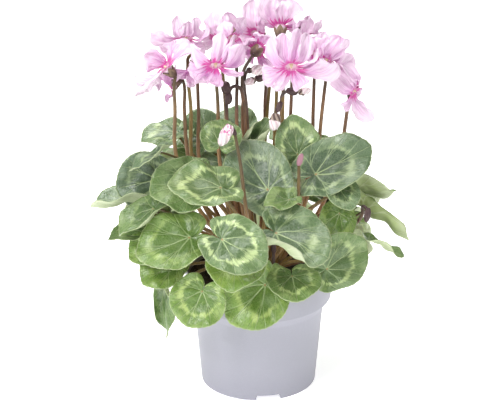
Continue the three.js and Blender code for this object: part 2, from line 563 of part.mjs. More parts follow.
// A flower stalk rises through its points and ends in a calyx, or in a dark bud
function scape(row, i) {
  const bloomed = BLOOMS[row.bloom];
  const by = row.by.map((point) => V(...point));
  const foot = rootTowards(by[0], SCAPE_RINGS[i % SCAPE_RINGS.length]);
  const knee = foot.clone().lerp(V(by[0].x, by[0].y, foot.z), 0.6);
  knee.z = foot.z + 0.42 * (by[0].z - foot.z);
  const route = [foot, knee, ...by];
  let tip = row.bud && V(...row.bud);
  if (bloomed) {
    const axis = V(...bloomed.look).normalize();
    tip = V(...bloomed.mouth).addScaledVector(axis, -CALYX_SEAT);
    route.push(tip.clone().addScaledVector(axis, -CALYX_LENGTH));
  }
  const curve = new THREE.CatmullRomCurve3(route, false, 'centripetal');
  const steps = Math.ceil(1.3 * (route.length - 1));
  const stem = solid(stalk(curve, steps, 4, SCAPE_BASE, SCAPE_TOP));
  const end = route[route.length - 1];
  const near = end.clone().lerp(tip, -0.15);
  return stem.add(solid(egg(near, tip, row.round ?? CALYX_ROUND, 5, 3)));
}

function tuberAndStalks() {
  const front = LEAVES.map((leaf) => leafStalk(leaf, 4));
  const rear = REAR_LEAVES.map((leaf) => leafStalk(leaf, 3));
  return geometryOf(joined([tuberBall(0), ...front, ...rear, ...SCAPES.map(scape)]));
}

// The width of a petal along it, as a part of its widest
function petalWidth(along) {
  const opening = 0.3 + 0.7 * THREE.MathUtils.smoothstep(along, 0, 0.6);
  const closing = Math.sqrt(Math.max(0, 1 - Math.max(0, (along - 0.6) / 0.43) ** 2));
  return opening * closing;
}

// A bloom is one sheet: a small cup behind the mouth, whose edge runs out into the petals.
// Each petal keeps to its own part of the circle round the mouth, so that none crosses another.
function bloom({ mouth, look, petals }) {
  const middle = V(...mouth);
  const axis = V(...look).normalize();
  const first = V(0, 0, 1).addScaledVector(axis, -axis.z).normalize();
  const second = axis.clone().cross(first);
  const place = (radius, turn, height) => middle.clone()
    .addScaledVector(first, radius * Math.cos(turn))
    .addScaledVector(second, radius * Math.sin(turn))
    .addScaledVector(axis, height);
  const tips = petals.map(([x, y, z, width]) => {
    const tip = V(x, y, z);
    const height = tip.dot(axis);
    const turn = Math.atan2(tip.dot(second), tip.dot(first));
    const far = Math.sqrt(Math.max(0, tip.lengthSq() - height ** 2));
    return { height, turn, width, far: Math.max(MOUTH + PETAL_LEAST, far) };
  });
  tips.sort((a, b) => a.turn - b.turn);
  const share = (2 * Math.PI) / tips.length;
  const start = tips.reduce((sum, tip, i) => sum + tip.turn - i * share, 0) / tips.length;
  const turnAt = (i, along) => {
    const own = (i + tips.length) % tips.length;
    const whole = 2 * Math.PI * Math.floor(i / tips.length);
    return whole + (start + own * share) * (1 - along) + tips[own].turn * along;
  };
  const points = [middle.clone().addScaledVector(axis, -CUP_DEPTH)];
  const faces = [];
  const ring = [];
  tips.forEach((tip, i) => {
    const root = turnAt(i, 0);
    let near = [-1, 0, 1].map((part) => (
      points.push(place(MOUTH, root + part * PETAL_ROOT * share, 0)) - 1));
    ring.push(...near);
    for (const along of PETAL_ROWS) {
      const turn = turnAt(i, along);
      const radius = MOUTH + (tip.far - MOUTH) * along;
      const wide = Math.atan2(0.5 * tip.width * petalWidth(along), radius);
      const height = PETAL_ARCH * Math.sin(Math.PI * along) + tip.height * along ** 1.6;
      const far = [-1, 0, 1].map((part) => {
        const room = 0.5 * Math.abs(turnAt(i + part, along) - turn) - PETAL_CLEAR / radius;
        const aside = part ? part * Math.max(PETAL_CLEAR / radius, Math.min(wide, room)) : 0;
        const lift = radius * (0.2 * Math.abs(Math.tan(aside)) + PETAL_FAN * Math.tan(aside));
        return points.push(place(radius / Math.cos(aside), turn + aside, height + lift)) - 1;
      });
      faces.push(...strip(near, far));
      near = far;
    }
  });
  faces.push(...strip([0], [...ring, ring[0]]));
  return solid(sheet(points, faces, PETAL_THICK));
}

const green = new THREE.MeshStandardMaterial({ color: 0x6d8a5c, roughness: 0.45, metalness: 0 });
const pink = new THREE.MeshStandardMaterial({ color: 0xeec3e2, roughness: 0.6, metalness: 0 });
const cream = new THREE.MeshStandardMaterial({ color: 0xf4e6e6, roughness: 0.6, metalness: 0 });
const brown = new THREE.MeshStandardMaterial({ color: 0x6a4a38, roughness: 0.55, metalness: 0 });
const plastic = new THREE.MeshStandardMaterial({ color: 0xbcbbca, roughness: 0.5, metalness: 0 });
const earth = new THREE.MeshStandardMaterial({ color: 0x2b2320, roughness: 0.95, metalness: 0 });

const plant = new THREE.Group();

function piece(name, geometry, material) {
  const mesh = new THREE.Mesh(geometry, material);
  mesh.name = name;
  plant.add(mesh);
}

piece('pot', pot(), plastic);
piece('soil', soil(), earth);
piece('tuber_and_stalks', tuberAndStalks(), brown);

const leafNodes = new Map();
function addLeaf(leaf, steps, name) {
  const node = leaf.node ?? name;
  leafNodes.set(node, [...(leafNodes.get(node) ?? []), solid(leafBlade(leaf, steps))]);
}
LEAVES.forEach((leaf, i) => addLeaf(leaf, FRONT_STEPS, `leaf_${i + 1}`));
REAR_LEAVES.forEach((leaf, i) => addLeaf(leaf, REAR_STEPS, `leaf_back_${i + 1}`));
for (const [name, blades] of leafNodes) piece(name, geometryOf(joined(blades)), green);

const bloomNodes = new Map();
for (const [place, row] of Object.entries(BLOOMS)) {
  const name = `bloom_${row.node ?? place}`;
  bloomNodes.set(name, [...(bloomNodes.get(name) ?? []), bloom(row)]);
}
for (const [name, flowers] of bloomNodes) piece(name, geometryOf(joined(flowers)), pink);

BUDS.forEach((bud, i) => {
  piece(`bud_${i + 1}`, egg(V(...bud.from), V(...bud.to), bud.round, 6, 5), cream);
});

export default plant;
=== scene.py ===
# %% [markdown]
# # A potted cyclamen
# The plant is built round its solids: simple closed shapes that already have the right size and place.
# Each solid is replaced here by a finer piece that follows the same form, because a plant lives by what
# plain solids leave out: wavy margins, veins, marbling and thin petals. Lengths in the tables are
# millimetres, as a grower would measure them, and `MM` turns them to metres.

# %% Load the solids
import math
import random

import bpy
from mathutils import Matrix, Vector, geometry, noise


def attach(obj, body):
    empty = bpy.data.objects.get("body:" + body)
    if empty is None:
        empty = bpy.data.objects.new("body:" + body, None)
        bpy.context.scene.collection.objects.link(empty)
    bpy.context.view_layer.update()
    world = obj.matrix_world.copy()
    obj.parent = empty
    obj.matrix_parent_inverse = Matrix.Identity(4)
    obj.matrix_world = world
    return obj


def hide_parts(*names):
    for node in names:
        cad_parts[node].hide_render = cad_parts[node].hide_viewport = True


MM = 0.001
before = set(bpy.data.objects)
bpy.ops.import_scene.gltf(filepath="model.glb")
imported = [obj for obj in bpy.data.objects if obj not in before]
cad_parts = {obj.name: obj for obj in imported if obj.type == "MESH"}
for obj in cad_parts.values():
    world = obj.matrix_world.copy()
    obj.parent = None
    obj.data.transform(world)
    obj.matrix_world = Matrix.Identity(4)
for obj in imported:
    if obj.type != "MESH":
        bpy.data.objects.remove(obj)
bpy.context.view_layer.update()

# %% [markdown]
# ## Camera and light
# The camera looks down at the plant by 22 degrees, from far off and with a long lens, so that the pot
# hardly narrows. A softbox at the left front models the forms, one overhead gives the leaves their
# sheen, a weak one at the right opens the shadows, and a pale floor and sky light the undersides.

# %% Camera, floor and lights
CAMERA_PLACE, CAMERA_TILT, CAMERA_LENS = (-0.0072, -1.6, 0.808), 67.92, 152.1
PLANT_MIDDLE, SKY_LIGHT = Vector((0, 0, 0.17)), 0.25
scene = bpy.context.scene
bpy.ops.object.camera_add(location=CAMERA_PLACE, rotation=(math.radians(CAMERA_TILT), 0, 0))
scene.camera = bpy.context.object
scene.camera.data.lens = CAMERA_LENS
scene.camera.data.sensor_width = 36
scene.view_settings.view_transform = "Standard"


def softbox(name, place, width, power):
    """Add a square light that looks at the middle of the plant."""
    bpy.ops.object.light_add(type="AREA", location=place)
    light = bpy.context.object
    light.name = name
    light.data.size = width
    light.data.energy = power
    light.rotation_euler = (PLANT_MIDDLE - Vector(place)).to_track_quat("-Z", "Y").to_euler()


softbox("softbox_left", (-1.1, -1.2, 1.5), 1.0, 30)
softbox("softbox_over", (-0.2, 0.5, 1.9), 1.3, 34)
softbox("softbox_right", (1.5, -1.3, 1.2), 1.4, 9)
scene.world = bpy.data.worlds.new("studio")
scene.world.use_nodes = True
sky = scene.world.node_tree.nodes["Background"]
sky.inputs["Color"].default_value = (1, 1, 1, 1)
sky.inputs["Strength"].default_value = SKY_LIGHT
print("camera at", tuple(scene.camera.location), "lens", scene.camera.data.lens)

# %% [markdown]
# ## Writing materials as Python
# A material is a tree of nodes, and long sums in it are hard to read as a list of nodes and links. One
# small class wraps an output socket, so that `1 - mask` or `a * b` adds the Math nodes by itself.
# A second class holds the material: its `node` adds any other node, with settings first.


# %% A socket that can be added and multiplied
class Wire:
    """An output socket of a finish, or a sum of them."""

    def __init__(self, finish, socket):
        self.finish, self.socket = finish, socket

    def __add__(self, other):
        return self.finish.maths("ADD", self, other)

    def __sub__(self, other):
        return self.finish.maths("SUBTRACT", self, other)

    def __rsub__(self, other):
        return self.finish.maths("SUBTRACT", other, self)

    def __mul__(self, other):
        return self.finish.maths("MULTIPLY", self, other)

    def __pow__(self, other):
        return self.finish.maths("POWER", self, other)

    def __abs__(self):
        return self.finish.maths("ABSOLUTE", self)

    __radd__ = __add__
    __rmul__ = __mul__


# %% A colour for a socket
def shade(*levels):
    """Red, green and blue as a picture gives them, from 0 to 255, as a colour for a socket."""
    linear = [c / 255 / 12.92 if c < 11 else ((c / 255 + 0.055) / 1.055) ** 2.4 for c in levels]
    return (*linear, 1)


print("mid grey as a shader wants it:", [round(level, 3) for level in shade(128, 128, 128)])


# %% A material made of wires
class Finish:
    """A material: its constants are set on the shader, and what varies is wired to it."""

    def __init__(self, name, **constants):
        self.material = bpy.data.materials.new(name)
        self.material.use_nodes = True
        self.tree = self.material.node_tree
        self.shader = self.tree.nodes["Principled BSDF"]
        for socket, value in constants.items():
            self.feed(self.shader.inputs[socket.replace("_", " ")], value)

    def feed(self, socket, value):
        if isinstance(value, Wire):
            self.tree.links.new(value.socket, socket)
        else:
            socket.default_value = value

    def node(self, kind, settings=None, values=None, out=0):
        made = self.tree.nodes.new("ShaderNode" + kind)
        for name, value in (settings or {}).items():
            setattr(made, name, value)
        for key, value in (values or {}).items():
            self.feed(made.inputs[key], value)
        return Wire(self, made.outputs[out])

    def maths(self, operation, *values):
        return self.node("Math", {"operation": operation}, dict(enumerate(values)))

    def mark(self, name):
        """A number that the mesh carries at each of its points."""
        return self.node("Attribute", {"attribute_name": name}, out=2)

    def marks(self, names):
        return [self.mark(name) for name in names.split()]

    def place(self):
        """Where a point is on the object, in metres."""
        return self.node("TexCoord", out=3)

    def point(self, x, y, z=0.0):
        return self.node("CombineXYZ", None, {0: x, 1: y, 2: z})

    def speckle(self, vector, scale, detail=2.0, rough=0.5):
        values = {"Vector": vector, "Scale": scale, "Detail": detail, "Roughness": rough}
        return self.node("TexNoise", None, values)

    def ramp(self, value, low, high):
        """0 below low, 1 above high, and a soft step between; low may be the larger one."""
        return self.node("MapRange", {"interpolation_type": "SMOOTHSTEP"}, {0: value, 1: low, 2: high})

    def mix(self, mask, first, second):
        return self.node("Mix", {"data_type": "RGBA"}, {0: mask, 6: first, 7: second}, out=2)

    def wear(self, colour, roughness=None, height=None, depth=0.0, strength=1.0, painted_glow=None):
        """Wire the finished colour, roughness, relief and painted glow to the shader."""
        wires = {"Base Color": colour, "Roughness": roughness, "Emission Color": painted_glow}
        if height is not None:
            bump = {"Height": height, "Distance": depth, "Strength": strength}
            wires["Normal"] = self.node("Bump", None, bump)
        for socket, wire in wires.items():
            if wire is not None:
                self.feed(self.shader.inputs[socket], wire)
        print("finish:", self.material.name, "with", len(self.tree.nodes), "nodes")


# %% [markdown]
# ## The floor
# The plant stands on a plain white table top. It is a single large plane, which isn't part of the
# object. A little light of its own keeps it as bright as a lit background.

# %% Floor
bpy.ops.mesh.primitive_plane_add(size=14, location=(0, 3, 0))
floor = bpy.context.object
floor.name = "floor"
table_top = Finish("table_top", Roughness=0.9, Emission_Color=(1, 1, 1, 1), Emission_Strength=0.6)
cloudy = table_top.speckle(table_top.place(), 3.0)
table_top.wear(table_top.mix(cloudy, shade(250, 250, 250), shade(255, 255, 255)))
floor.data.materials.append(table_top.material)

# %% [markdown]
# ## Helpers for modelling
# An operator works on whatever is selected, so each step first deselects everything. Modifiers are
# applied at once, so that the finished mesh is all that is left. A finished piece then rides on the
# plant's one body and stands for its solid.


# %% Select a piece and apply a modifier
def deselect():
    bpy.ops.object.select_all(action="DESELECT")


def take(piece):
    """Make a piece the only one selected, and the active one."""
    deselect()
    piece.select_set(True)
    bpy.context.view_layer.objects.active = piece


def apply_modifier(piece, kind, **settings):
    take(piece)
    bpy.ops.object.modifier_add(type=kind)
    modifier = piece.modifiers[-1]
    for name, value in settings.items():
        setattr(modifier, name, value)
    bpy.ops.object.modifier_apply(modifier=modifier.name)


# %% Join, close and hand over
def join(name, pieces):
    """Make several pieces one, or only rename a single one."""
    take(pieces[0])
    for piece in pieces:
        piece.select_set(True)
    if len(pieces) > 1:
        bpy.ops.object.join()
    whole = bpy.context.object
    whole.name = whole.data.name = name
    return whole


def merge_doubles(piece, recalculate):
    """Close seams and poles, and point a closed skin's faces outwards."""
    take(piece)
    bpy.ops.object.mode_set(mode="EDIT")
    bpy.ops.mesh.select_all(action="SELECT")
    bpy.ops.mesh.remove_doubles(threshold=1e-6)
    if recalculate:
        bpy.ops.mesh.normals_make_consistent(inside=False)
    bpy.ops.object.mode_set(mode="OBJECT")


def hand_over(piece, node):
    """A finished piece: it rides on the plant and stands for a solid."""
    take(piece)
    bpy.ops.object.shade_smooth()
    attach(piece, "root")
    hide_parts(node)
    print(piece.name, "has", len(piece.data.polygons), "faces")


# %% [markdown]
# ## The pot
# The real pot is injection moulded: a thin tapered wall with a wider band at the rim, a foot ring with
# three notches that let water out, and drain holes in a raised channel. A lathe-like shape can be spun
# from a profile, or drawn up ring by ring as here: extrude the edge, then scale it. The notches and
# holes are cut by Boolean modifiers, and a small bevel gives the moulding its soft edges.

# %% Draw up the pot's wall
SHOULDER, BAND_FOOT, RIM, FOOT_RING, PAD = (53.5, 67), (60, 76.5), (61, 100), 47.7, 14
POT_RINGS = [
    (PAD, 0), (PAD + 2, 4.4), (FOOT_RING - 5, 4.4), (FOOT_RING - 4, 0), (FOOT_RING, 0),
    (50.8, 36), SHOULDER, (54.6, 69.2), (59.2, 75.6), BAND_FOOT, RIM, (RIM[0] - 0.5, 100.4),
    (RIM[0] - 1.5, 100.3), (RIM[0] - 1.8, 99.6), (58.5, 76.5), (52, 67), (46.7, 6.2), (14.6, 6.2),
    (12.6, 1.8),
]
deselect()
bpy.ops.mesh.primitive_circle_add(vertices=120, radius=PAD * MM)
pot = bpy.context.object
pot.name = pot.data.name = "moulded_pot"
bpy.ops.object.mode_set(mode="EDIT")
bpy.ops.mesh.select_all(action="SELECT")
for (near, low), (far, high) in zip(POT_RINGS, POT_RINGS[1:]):
    bpy.ops.mesh.extrude_region_move(TRANSFORM_OT_translate={"value": (0, 0, (high - low) * MM)})
    bpy.ops.transform.resize(value=(far / near, far / near, 1), center_override=(0, 0, 0))
bpy.ops.mesh.select_all(action="SELECT")
bpy.ops.mesh.fill_holes(sides=0)
bpy.ops.mesh.normals_make_consistent(inside=False)
bpy.ops.object.mode_set(mode="OBJECT")
print("pot wall:", len(pot.data.polygons), "faces")


# %% Cut the notches
def cut(piece, cutter):
    """Take the cutter's form out of a piece, and the cutter out of the scene."""
    apply_modifier(piece, "BOOLEAN", operation="DIFFERENCE", object=cutter, solver="EXACT")
    bpy.data.objects.remove(cutter)


NOTCHES, NOTCH_FIRST, NOTCH_AT = 3, -80.3, 46
NOTCH_DEEP, NOTCH_WIDE, NOTCH_HIGH, NOTCH_TAPER = 12, 22.5, 4.2, 0.84
for i in range(NOTCHES):
    turn = math.radians(NOTCH_FIRST + 360 / NOTCHES * i)
    deselect()
    bpy.ops.mesh.primitive_cube_add(size=1, location=(NOTCH_AT * MM, 0, 0),
                                    scale=(NOTCH_DEEP * MM, NOTCH_WIDE * MM, 2 * NOTCH_HIGH * MM))
    notch = bpy.context.object
    bpy.ops.object.transform_apply(location=True, scale=True)
    bpy.ops.object.mode_set(mode="EDIT")
    bpy.ops.mesh.select_all(action="DESELECT")
    bpy.ops.object.mode_set(mode="OBJECT")
    for side in notch.data.polygons:
        side.select = side.normal.z > 0.9
    bpy.ops.object.mode_set(mode="EDIT")
    bpy.ops.transform.resize(value=(1, NOTCH_TAPER, 1))
    bpy.ops.object.mode_set(mode="OBJECT")
    notch.rotation_euler.z = turn
    bpy.ops.object.transform_apply(rotation=True)
    cut(pot, notch)
print("pot with", NOTCHES, "notches:", len(pot.data.polygons), "faces")

# %% Cut the drain holes and soften the edges
DRAINS, DRAIN_FIRST, DRAIN_RING, DRAIN_RADIUS = 6, 30, 29, 3.2
DRAIN_HEIGHT, DRAIN_DEEP, SOFT_EDGE = 5.3, 8, 0.35
for i in range(DRAINS):
    turn = math.radians(DRAIN_FIRST + 360 / DRAINS * i)
    place = (DRAIN_RING * math.cos(turn) * MM, DRAIN_RING * math.sin(turn) * MM, DRAIN_HEIGHT * MM)
    deselect()
    bpy.ops.mesh.primitive_cylinder_add(vertices=32, radius=DRAIN_RADIUS * MM, depth=DRAIN_DEEP * MM,
                                        location=place)
    cut(pot, bpy.context.object)
apply_modifier(pot, "BEVEL", width=SOFT_EDGE * MM, segments=2, limit_method="ANGLE",
               angle_limit=math.radians(35))
print("pot with notches and holes:", len(pot.data.polygons), "faces")

# %% [markdown]
# The plastic is a lilac grey with a fine eggshell grain from the mould. A broad, weak cloudiness keeps
# it from looking like paint, and the lowest part of the wall is painted a touch darker, as painted shade.

# %% Pot plastic
plastic = Finish("lilac_grey_plastic", Roughness=0.5, Specular_IOR_Level=0.45)
spot = plastic.place()
cloud = plastic.speckle(spot, 22.0, 3.0)
grain = plastic.speckle(spot, 2600.0, 2.0)
height = plastic.node("SeparateXYZ", None, {0: spot}, out=2)
colour = plastic.mix(cloud, shade(160, 160, 172), shade(170, 170, 181))
# Painted shade: the lowest 3 cm of the wall are mixed towards a darker lilac grey.
colour = plastic.mix(0.6 * plastic.ramp(height, 0.03, 0.0), colour, shade(154, 153, 166))
colour = plastic.mix(0.12 * plastic.ramp(grain, 0.45, 0.7), colour, shade(214, 214, 222))
plastic.wear(colour, 0.42 + 0.16 * cloud, grain + 2.0 * cloud, 0.00006, 0.5)
pot.data.materials.append(plastic.material)
hand_over(pot, "pot")
take(pot)
bpy.ops.object.shade_smooth_by_angle(angle=math.radians(32))

# %% [markdown]
# ## Growing a sheet or a tube from a grid
# Leaves, petals, stalks and buds are all one grid that has been carried somewhere: flat and cut to a
# heart, or rolled up to a tube. `grow` adds the grid as a primitive, asks a `place` function where each
# of its points goes, and keeps the numbers that the material needs, such as how far out a point lies.


# %% Grow
def grow(name, across, along, place, material, closed=False):
    """A grid with its points carried to place(u, v), which gives millimetres and named numbers."""
    deselect()
    bpy.ops.mesh.primitive_grid_add(x_subdivisions=across, y_subdivisions=along, size=1)
    piece = bpy.context.object
    piece.name = piece.data.name = name
    mesh = piece.data
    mesh.uv_layers.remove(mesh.uv_layers[0])
    marks = {}
    for point in mesh.vertices:
        spot, numbers = place(point.co.x + 0.5, point.co.y + 0.5)
        point.co = spot * MM
        for key, number in numbers.items():
            marks.setdefault(key, []).append(number)
    for key, numbers in marks.items():
        mesh.attributes.new(key, "FLOAT", "POINT").data.foreach_set("value", numbers)
    mesh.materials.append(material)
    merge_doubles(piece, closed)
    return piece


def smoothstep(value, low, high):
    part = min(1.0, max(0.0, (value - low) / (high - low)))
    return part * part * (3 - 2 * part)


def ray_at(turn, first, second):
    """The direction that a turn gives between two directions square to each other."""
    return first * math.cos(turn) + second * math.sin(turn)


# %% [markdown]
# A tube follows a path. Each ring of it is turned on from the ring before, so it doesn't twist where the
# path bends. The first and last ring shrink to a point, which closes both ends once doubles are merged.


# %% Tube
def tube(name, path, sides, radius, material, numbers):
    """A round skin along a path of points; radius(v, turn) is in millimetres."""
    steps = len(path) - 1
    headings = [(path[min(i + 1, steps)] - path[max(i - 1, 0)]).normalized() for i in range(steps + 1)]
    normals = [Vector((0.6, 0.8, 0.05))]
    for heading in headings:
        normals.append((normals[-1] - heading * normals[-1].dot(heading)).normalized())

    def place(u, v):
        row = round(v * (steps + 2))
        i = min(max(row - 1, 0), steps)
        turn = 2 * math.pi * u
        part = i / steps
        wide = 0.0 if row in (0, steps + 2) else radius(part, turn)
        side = ray_at(turn, normals[i + 1], headings[i].cross(normals[i + 1]))
        return path[i] + side * wide, {"along": part, "turn": turn, **numbers}

    return grow(name, sides, steps + 2, place, material, closed=True)


# %% [markdown]
# ## Soil
# The pot is filled with dark peat, which shows only in the gaps between the lowest leaves. Its skin is
# grown as one closed form, with a top that is lumpy and sinks where the tuber sits. Crumbs of bark and
# peat lie on it: one small stone-like shape, copied many times, each copy turned and scaled.

# %% Peat finish
peat = Finish("dark_peat", Roughness=0.95)
spot = peat.place()
clods = peat.speckle(spot, 260.0, 5.0, 0.7)
fibres = peat.speckle(spot, 1400.0, 3.0, 0.7)
colour = peat.mix(clods, shade(24, 18, 15), shade(66, 50, 40))
colour = peat.mix(0.7 * peat.ramp(fibres, 0.6, 0.72), colour, shade(120, 92, 66))
peat.wear(colour, 0.82 + 0.15 * clods, clods + 0.5 * fibres, 0.0012)

# %% Soil body
SOIL_TOP, SOIL_EDGE, WALL_SHARE = 92, 58.1, 0.4
SOIL_WALL = [(0, 6.8), (46.0, 6.8), (51.4, 67), (57.8, 77), (SOIL_EDGE, 91.3)]
TUBER_RADIUS, TUBER_HALF, TUBER_HEIGHT, TUBER_HOLLOW = 23, 11, 91, 6


def soil_place(u, v):
    """Up the wall for the first share of the grid, and in over the lumpy top for the rest."""
    turn = 2 * math.pi * u
    if v < WALL_SHARE:
        part = v / WALL_SHARE * (len(SOIL_WALL) - 1)
        i = min(int(part), len(SOIL_WALL) - 2)
        (near, low), (far, high) = SOIL_WALL[i], SOIL_WALL[i + 1]
        radius = near + (far - near) * (part - i)
        height = low + (high - low) * (part - i)
    else:
        radius = SOIL_EDGE * (1 - v) / (1 - WALL_SHARE)
        where = Vector((math.cos(turn) * radius, math.sin(turn) * radius, 0))
        lump = 2.2 * noise.noise(where * 0.11) + 0.9 * noise.noise(where * 0.5)
        height = SOIL_TOP - 0.5 + lump * smoothstep(SOIL_EDGE - radius, 0, 5)
        height -= TUBER_HOLLOW * (1 - smoothstep(radius, 14, 22))
    return Vector((math.cos(turn) * radius, math.sin(turn) * radius, height)), {}


soil = grow("potting_soil", 96, 60, soil_place, peat.material, closed=True)

# %% Crumbs
CRUMBS = 260
chance = random.Random(5)
deselect()
bpy.ops.mesh.primitive_ico_sphere_add(subdivisions=1, radius=MM)
crumb = bpy.context.object
bpy.ops.transform.resize(value=(1.3, 0.9, 0.6))
bpy.ops.object.transform_apply(scale=True)
crumb.data.materials.append(peat.material)
crumbs = []
for i in range(CRUMBS):
    turn, radius = chance.uniform(0, 2 * math.pi), 57 * math.sqrt(chance.uniform(0.17, 0.94))
    one = crumb.copy()
    one.data = crumb.data.copy()
    scene.collection.objects.link(one)
    one.scale = Vector([chance.uniform(0.5, 2.1)] * 3)
    one.rotation_euler = [chance.uniform(0, 6.28) for _ in range(3)]
    one.location = Vector((radius * math.cos(turn), radius * math.sin(turn), SOIL_TOP + 0.1)) * MM
    crumbs.append(one)
bpy.data.objects.remove(crumb)
deselect()
for one in crumbs:
    one.select_set(True)
bpy.context.view_layer.objects.active = crumbs[0]
bpy.ops.object.transform_apply(location=True, rotation=True, scale=True)
soil = join("potting_soil", [soil, *crumbs])
hand_over(soil, "soil")

# %% [markdown]
# ## Tuber
# A cyclamen grows from a flattened, corky tuber that sits half out of the soil. It is a closed ball
# grown from the grid and pushed in and out by noise. Paler patches stand for the scars of old stalks.

# %% Cork finish and tuber
cork = Finish("corky_skin", Roughness=0.85)
spot = cork.place()
bark = cork.speckle(spot, 320.0, 5.0, 0.7)
scars = cork.speckle(spot, 90.0, 3.0)
colour = cork.mix(bark, shade(52, 38, 30), shade(112, 84, 62))
colour = cork.mix(0.5 * cork.ramp(scars, 0.5, 0.62), colour, shade(128, 92, 76))
cork.wear(colour, 0.75 + 0.2 * bark, bark, 0.001)


def tuber_place(u, v):
    turn, rise = 2 * math.pi * u, math.pi * (v - 0.5)
    out = Vector((math.cos(turn) * math.cos(rise), math.sin(turn) * math.cos(rise), math.sin(rise)))
    swell = 1 + 0.035 * noise.noise(out * 3.1) + 0.02 * noise.noise(out * 9.0)
    size = Vector((TUBER_RADIUS, TUBER_RADIUS, TUBER_HALF)) * swell
    return Vector((out.x * size.x, out.y * size.y, TUBER_HEIGHT + out.z * size.z)), {}


tuber = grow("tuber", 64, 32, tuber_place, cork.material, closed=True)
hand_over(tuber, "tuber_and_stalks")

# %% [markdown]
# ## Leaves: the form
# A cyclamen leaf is a heart on a stalk that joins it in the notch. Its outline is given by how far it
# reaches at each angle from its tip. Leaves could be sculpted one by one, but some sixty of them are
# better told apart by a few habits: length, width, where the face looks, how it cups, folds and waves,
# and which of its edges roll up or down. Most of those numbers are the ones the solids are made from.

# %% The outline of a leaf
HEART_RADIUS, HEART_AHEAD, HEART_POINT, HEART_LOBE, HEART_NOTCH = 0.7, 0.3, 0.05, 0.07, 0.5
LEAF_OPEN = math.radians(175)
TEETH, TOOTH = 42, 0.006


def reach(angle):
    """How far the heart reaches from its joint at an angle from the tip, in leaf lengths."""
    turn = abs(angle)
    body = HEART_AHEAD * math.cos(turn)
    body += math.sqrt(HEART_RADIUS ** 2 - (HEART_AHEAD * math.sin(turn)) ** 2)
    point = HEART_POINT * math.exp(-((turn / 0.2) ** 2))
    lobe = HEART_LOBE * math.exp(-(((turn - 2.35) / 0.45) ** 2))
    return (body + point + lobe) * (1 - HEART_NOTCH * smoothstep(turn, 2.55, 3.1))


print("reach at the tip, side and notch:", [round(reach(a), 3) for a in (0, 1.57, 2.98)])


# %% How a leaf lies and bends
def leaf_axes(leaf):
    """The joint, the three directions, the length and the breadth of a leaf."""
    joint = Vector(leaf["joint"])
    ahead = Vector(leaf["tip"]) - joint
    length = ahead.length
    ahead.normalize()
    outward = Vector((joint.x, joint.y, 0)).normalized()
    face = Vector(leaf["face"]) if leaf["face"] else outward * 0.6 + Vector((0, 0, 1))
    up = (face - ahead * face.dot(ahead)).normalized()
    return joint, ahead, up, up.cross(ahead), length, leaf["width"] / (2 * HEART_RADIUS * length)


def rolled(along, height, start, end, degrees):
    """Roll what lies past a line up or down on a round arc."""
    if along <= start or not degrees:
        return along, height
    bend = math.radians(degrees) / (end - start)
    angle = bend * (along - start)
    return (start + math.sin(angle) / bend - height * math.sin(angle),
            (1 - math.cos(angle)) / bend + height * math.cos(angle))


# %% Grow a leaf's blade
VEIN_GAP = math.radians(44)
DOME, DROOP, RIPPLE, BUCKLE = 0.02, 0.15, 0.016, 0.085


def leaf_blade(name, leaf, across, along, materials):
    """A leaf's blade, bent as the leaf is, with a scalloped edge and soft domes between its veins."""
    joint, ahead_way, up, left_way, length, broad = leaf_axes(leaf)
    seed = (leaf["joint"][0] * 0.37 + leaf["joint"][2] * 0.11) % 1.0
    half = HEART_RADIUS * broad

    def place(u, v):
        angle, out = LEAF_OPEN * (1 - 2 * u), v
        far = reach(angle) * out
        edge = far * (1 + TOOTH * out ** 10 * math.cos(TEETH * angle))
        ahead, side = edge * math.cos(angle), edge * math.sin(angle) * broad
        dome = math.sin(angle * math.pi / VEIN_GAP) ** 2 * smoothstep(out, 0.05, 0.5)
        height = leaf["cup"] * far * far + DOME * dome * (1 - smoothstep(out, 0.75, 1))
        height += leaf["fold"] * (math.sqrt(side * side + 0.02) - math.sqrt(0.02))
        height -= DROOP * max(0, ahead) ** 2
        height += leaf["wave"] * out * out * math.sin(leaf["waves"] * angle)
        height += RIPPLE * out ** 3 * math.sin(7 * angle + 40 * seed)
        height += BUCKLE * noise.noise(Vector((ahead * 3.2, side * 3.2, 9 * seed))) * smoothstep(out, 0, 0.4)
        marks = {"out": out, "swing": angle, "far": far, "flat_x": ahead * length, "flat_y": side * length,
                 "tone": leaf["tone"], "marbled": leaf["marbled"], "seed": seed}
        side, height = rolled(side, height, leaf["left_from"], half, leaf["left"])
        side, height = rolled(-side, height, leaf["right_from"], half, leaf["right"])
        spot = joint + ahead_way * (ahead * length) + left_way * (-side * length) + up * (height * length)
        return spot, marks

    blade = grow(name, across, along, place, materials[0])
    blade.data.materials.append(materials[1])
    return blade
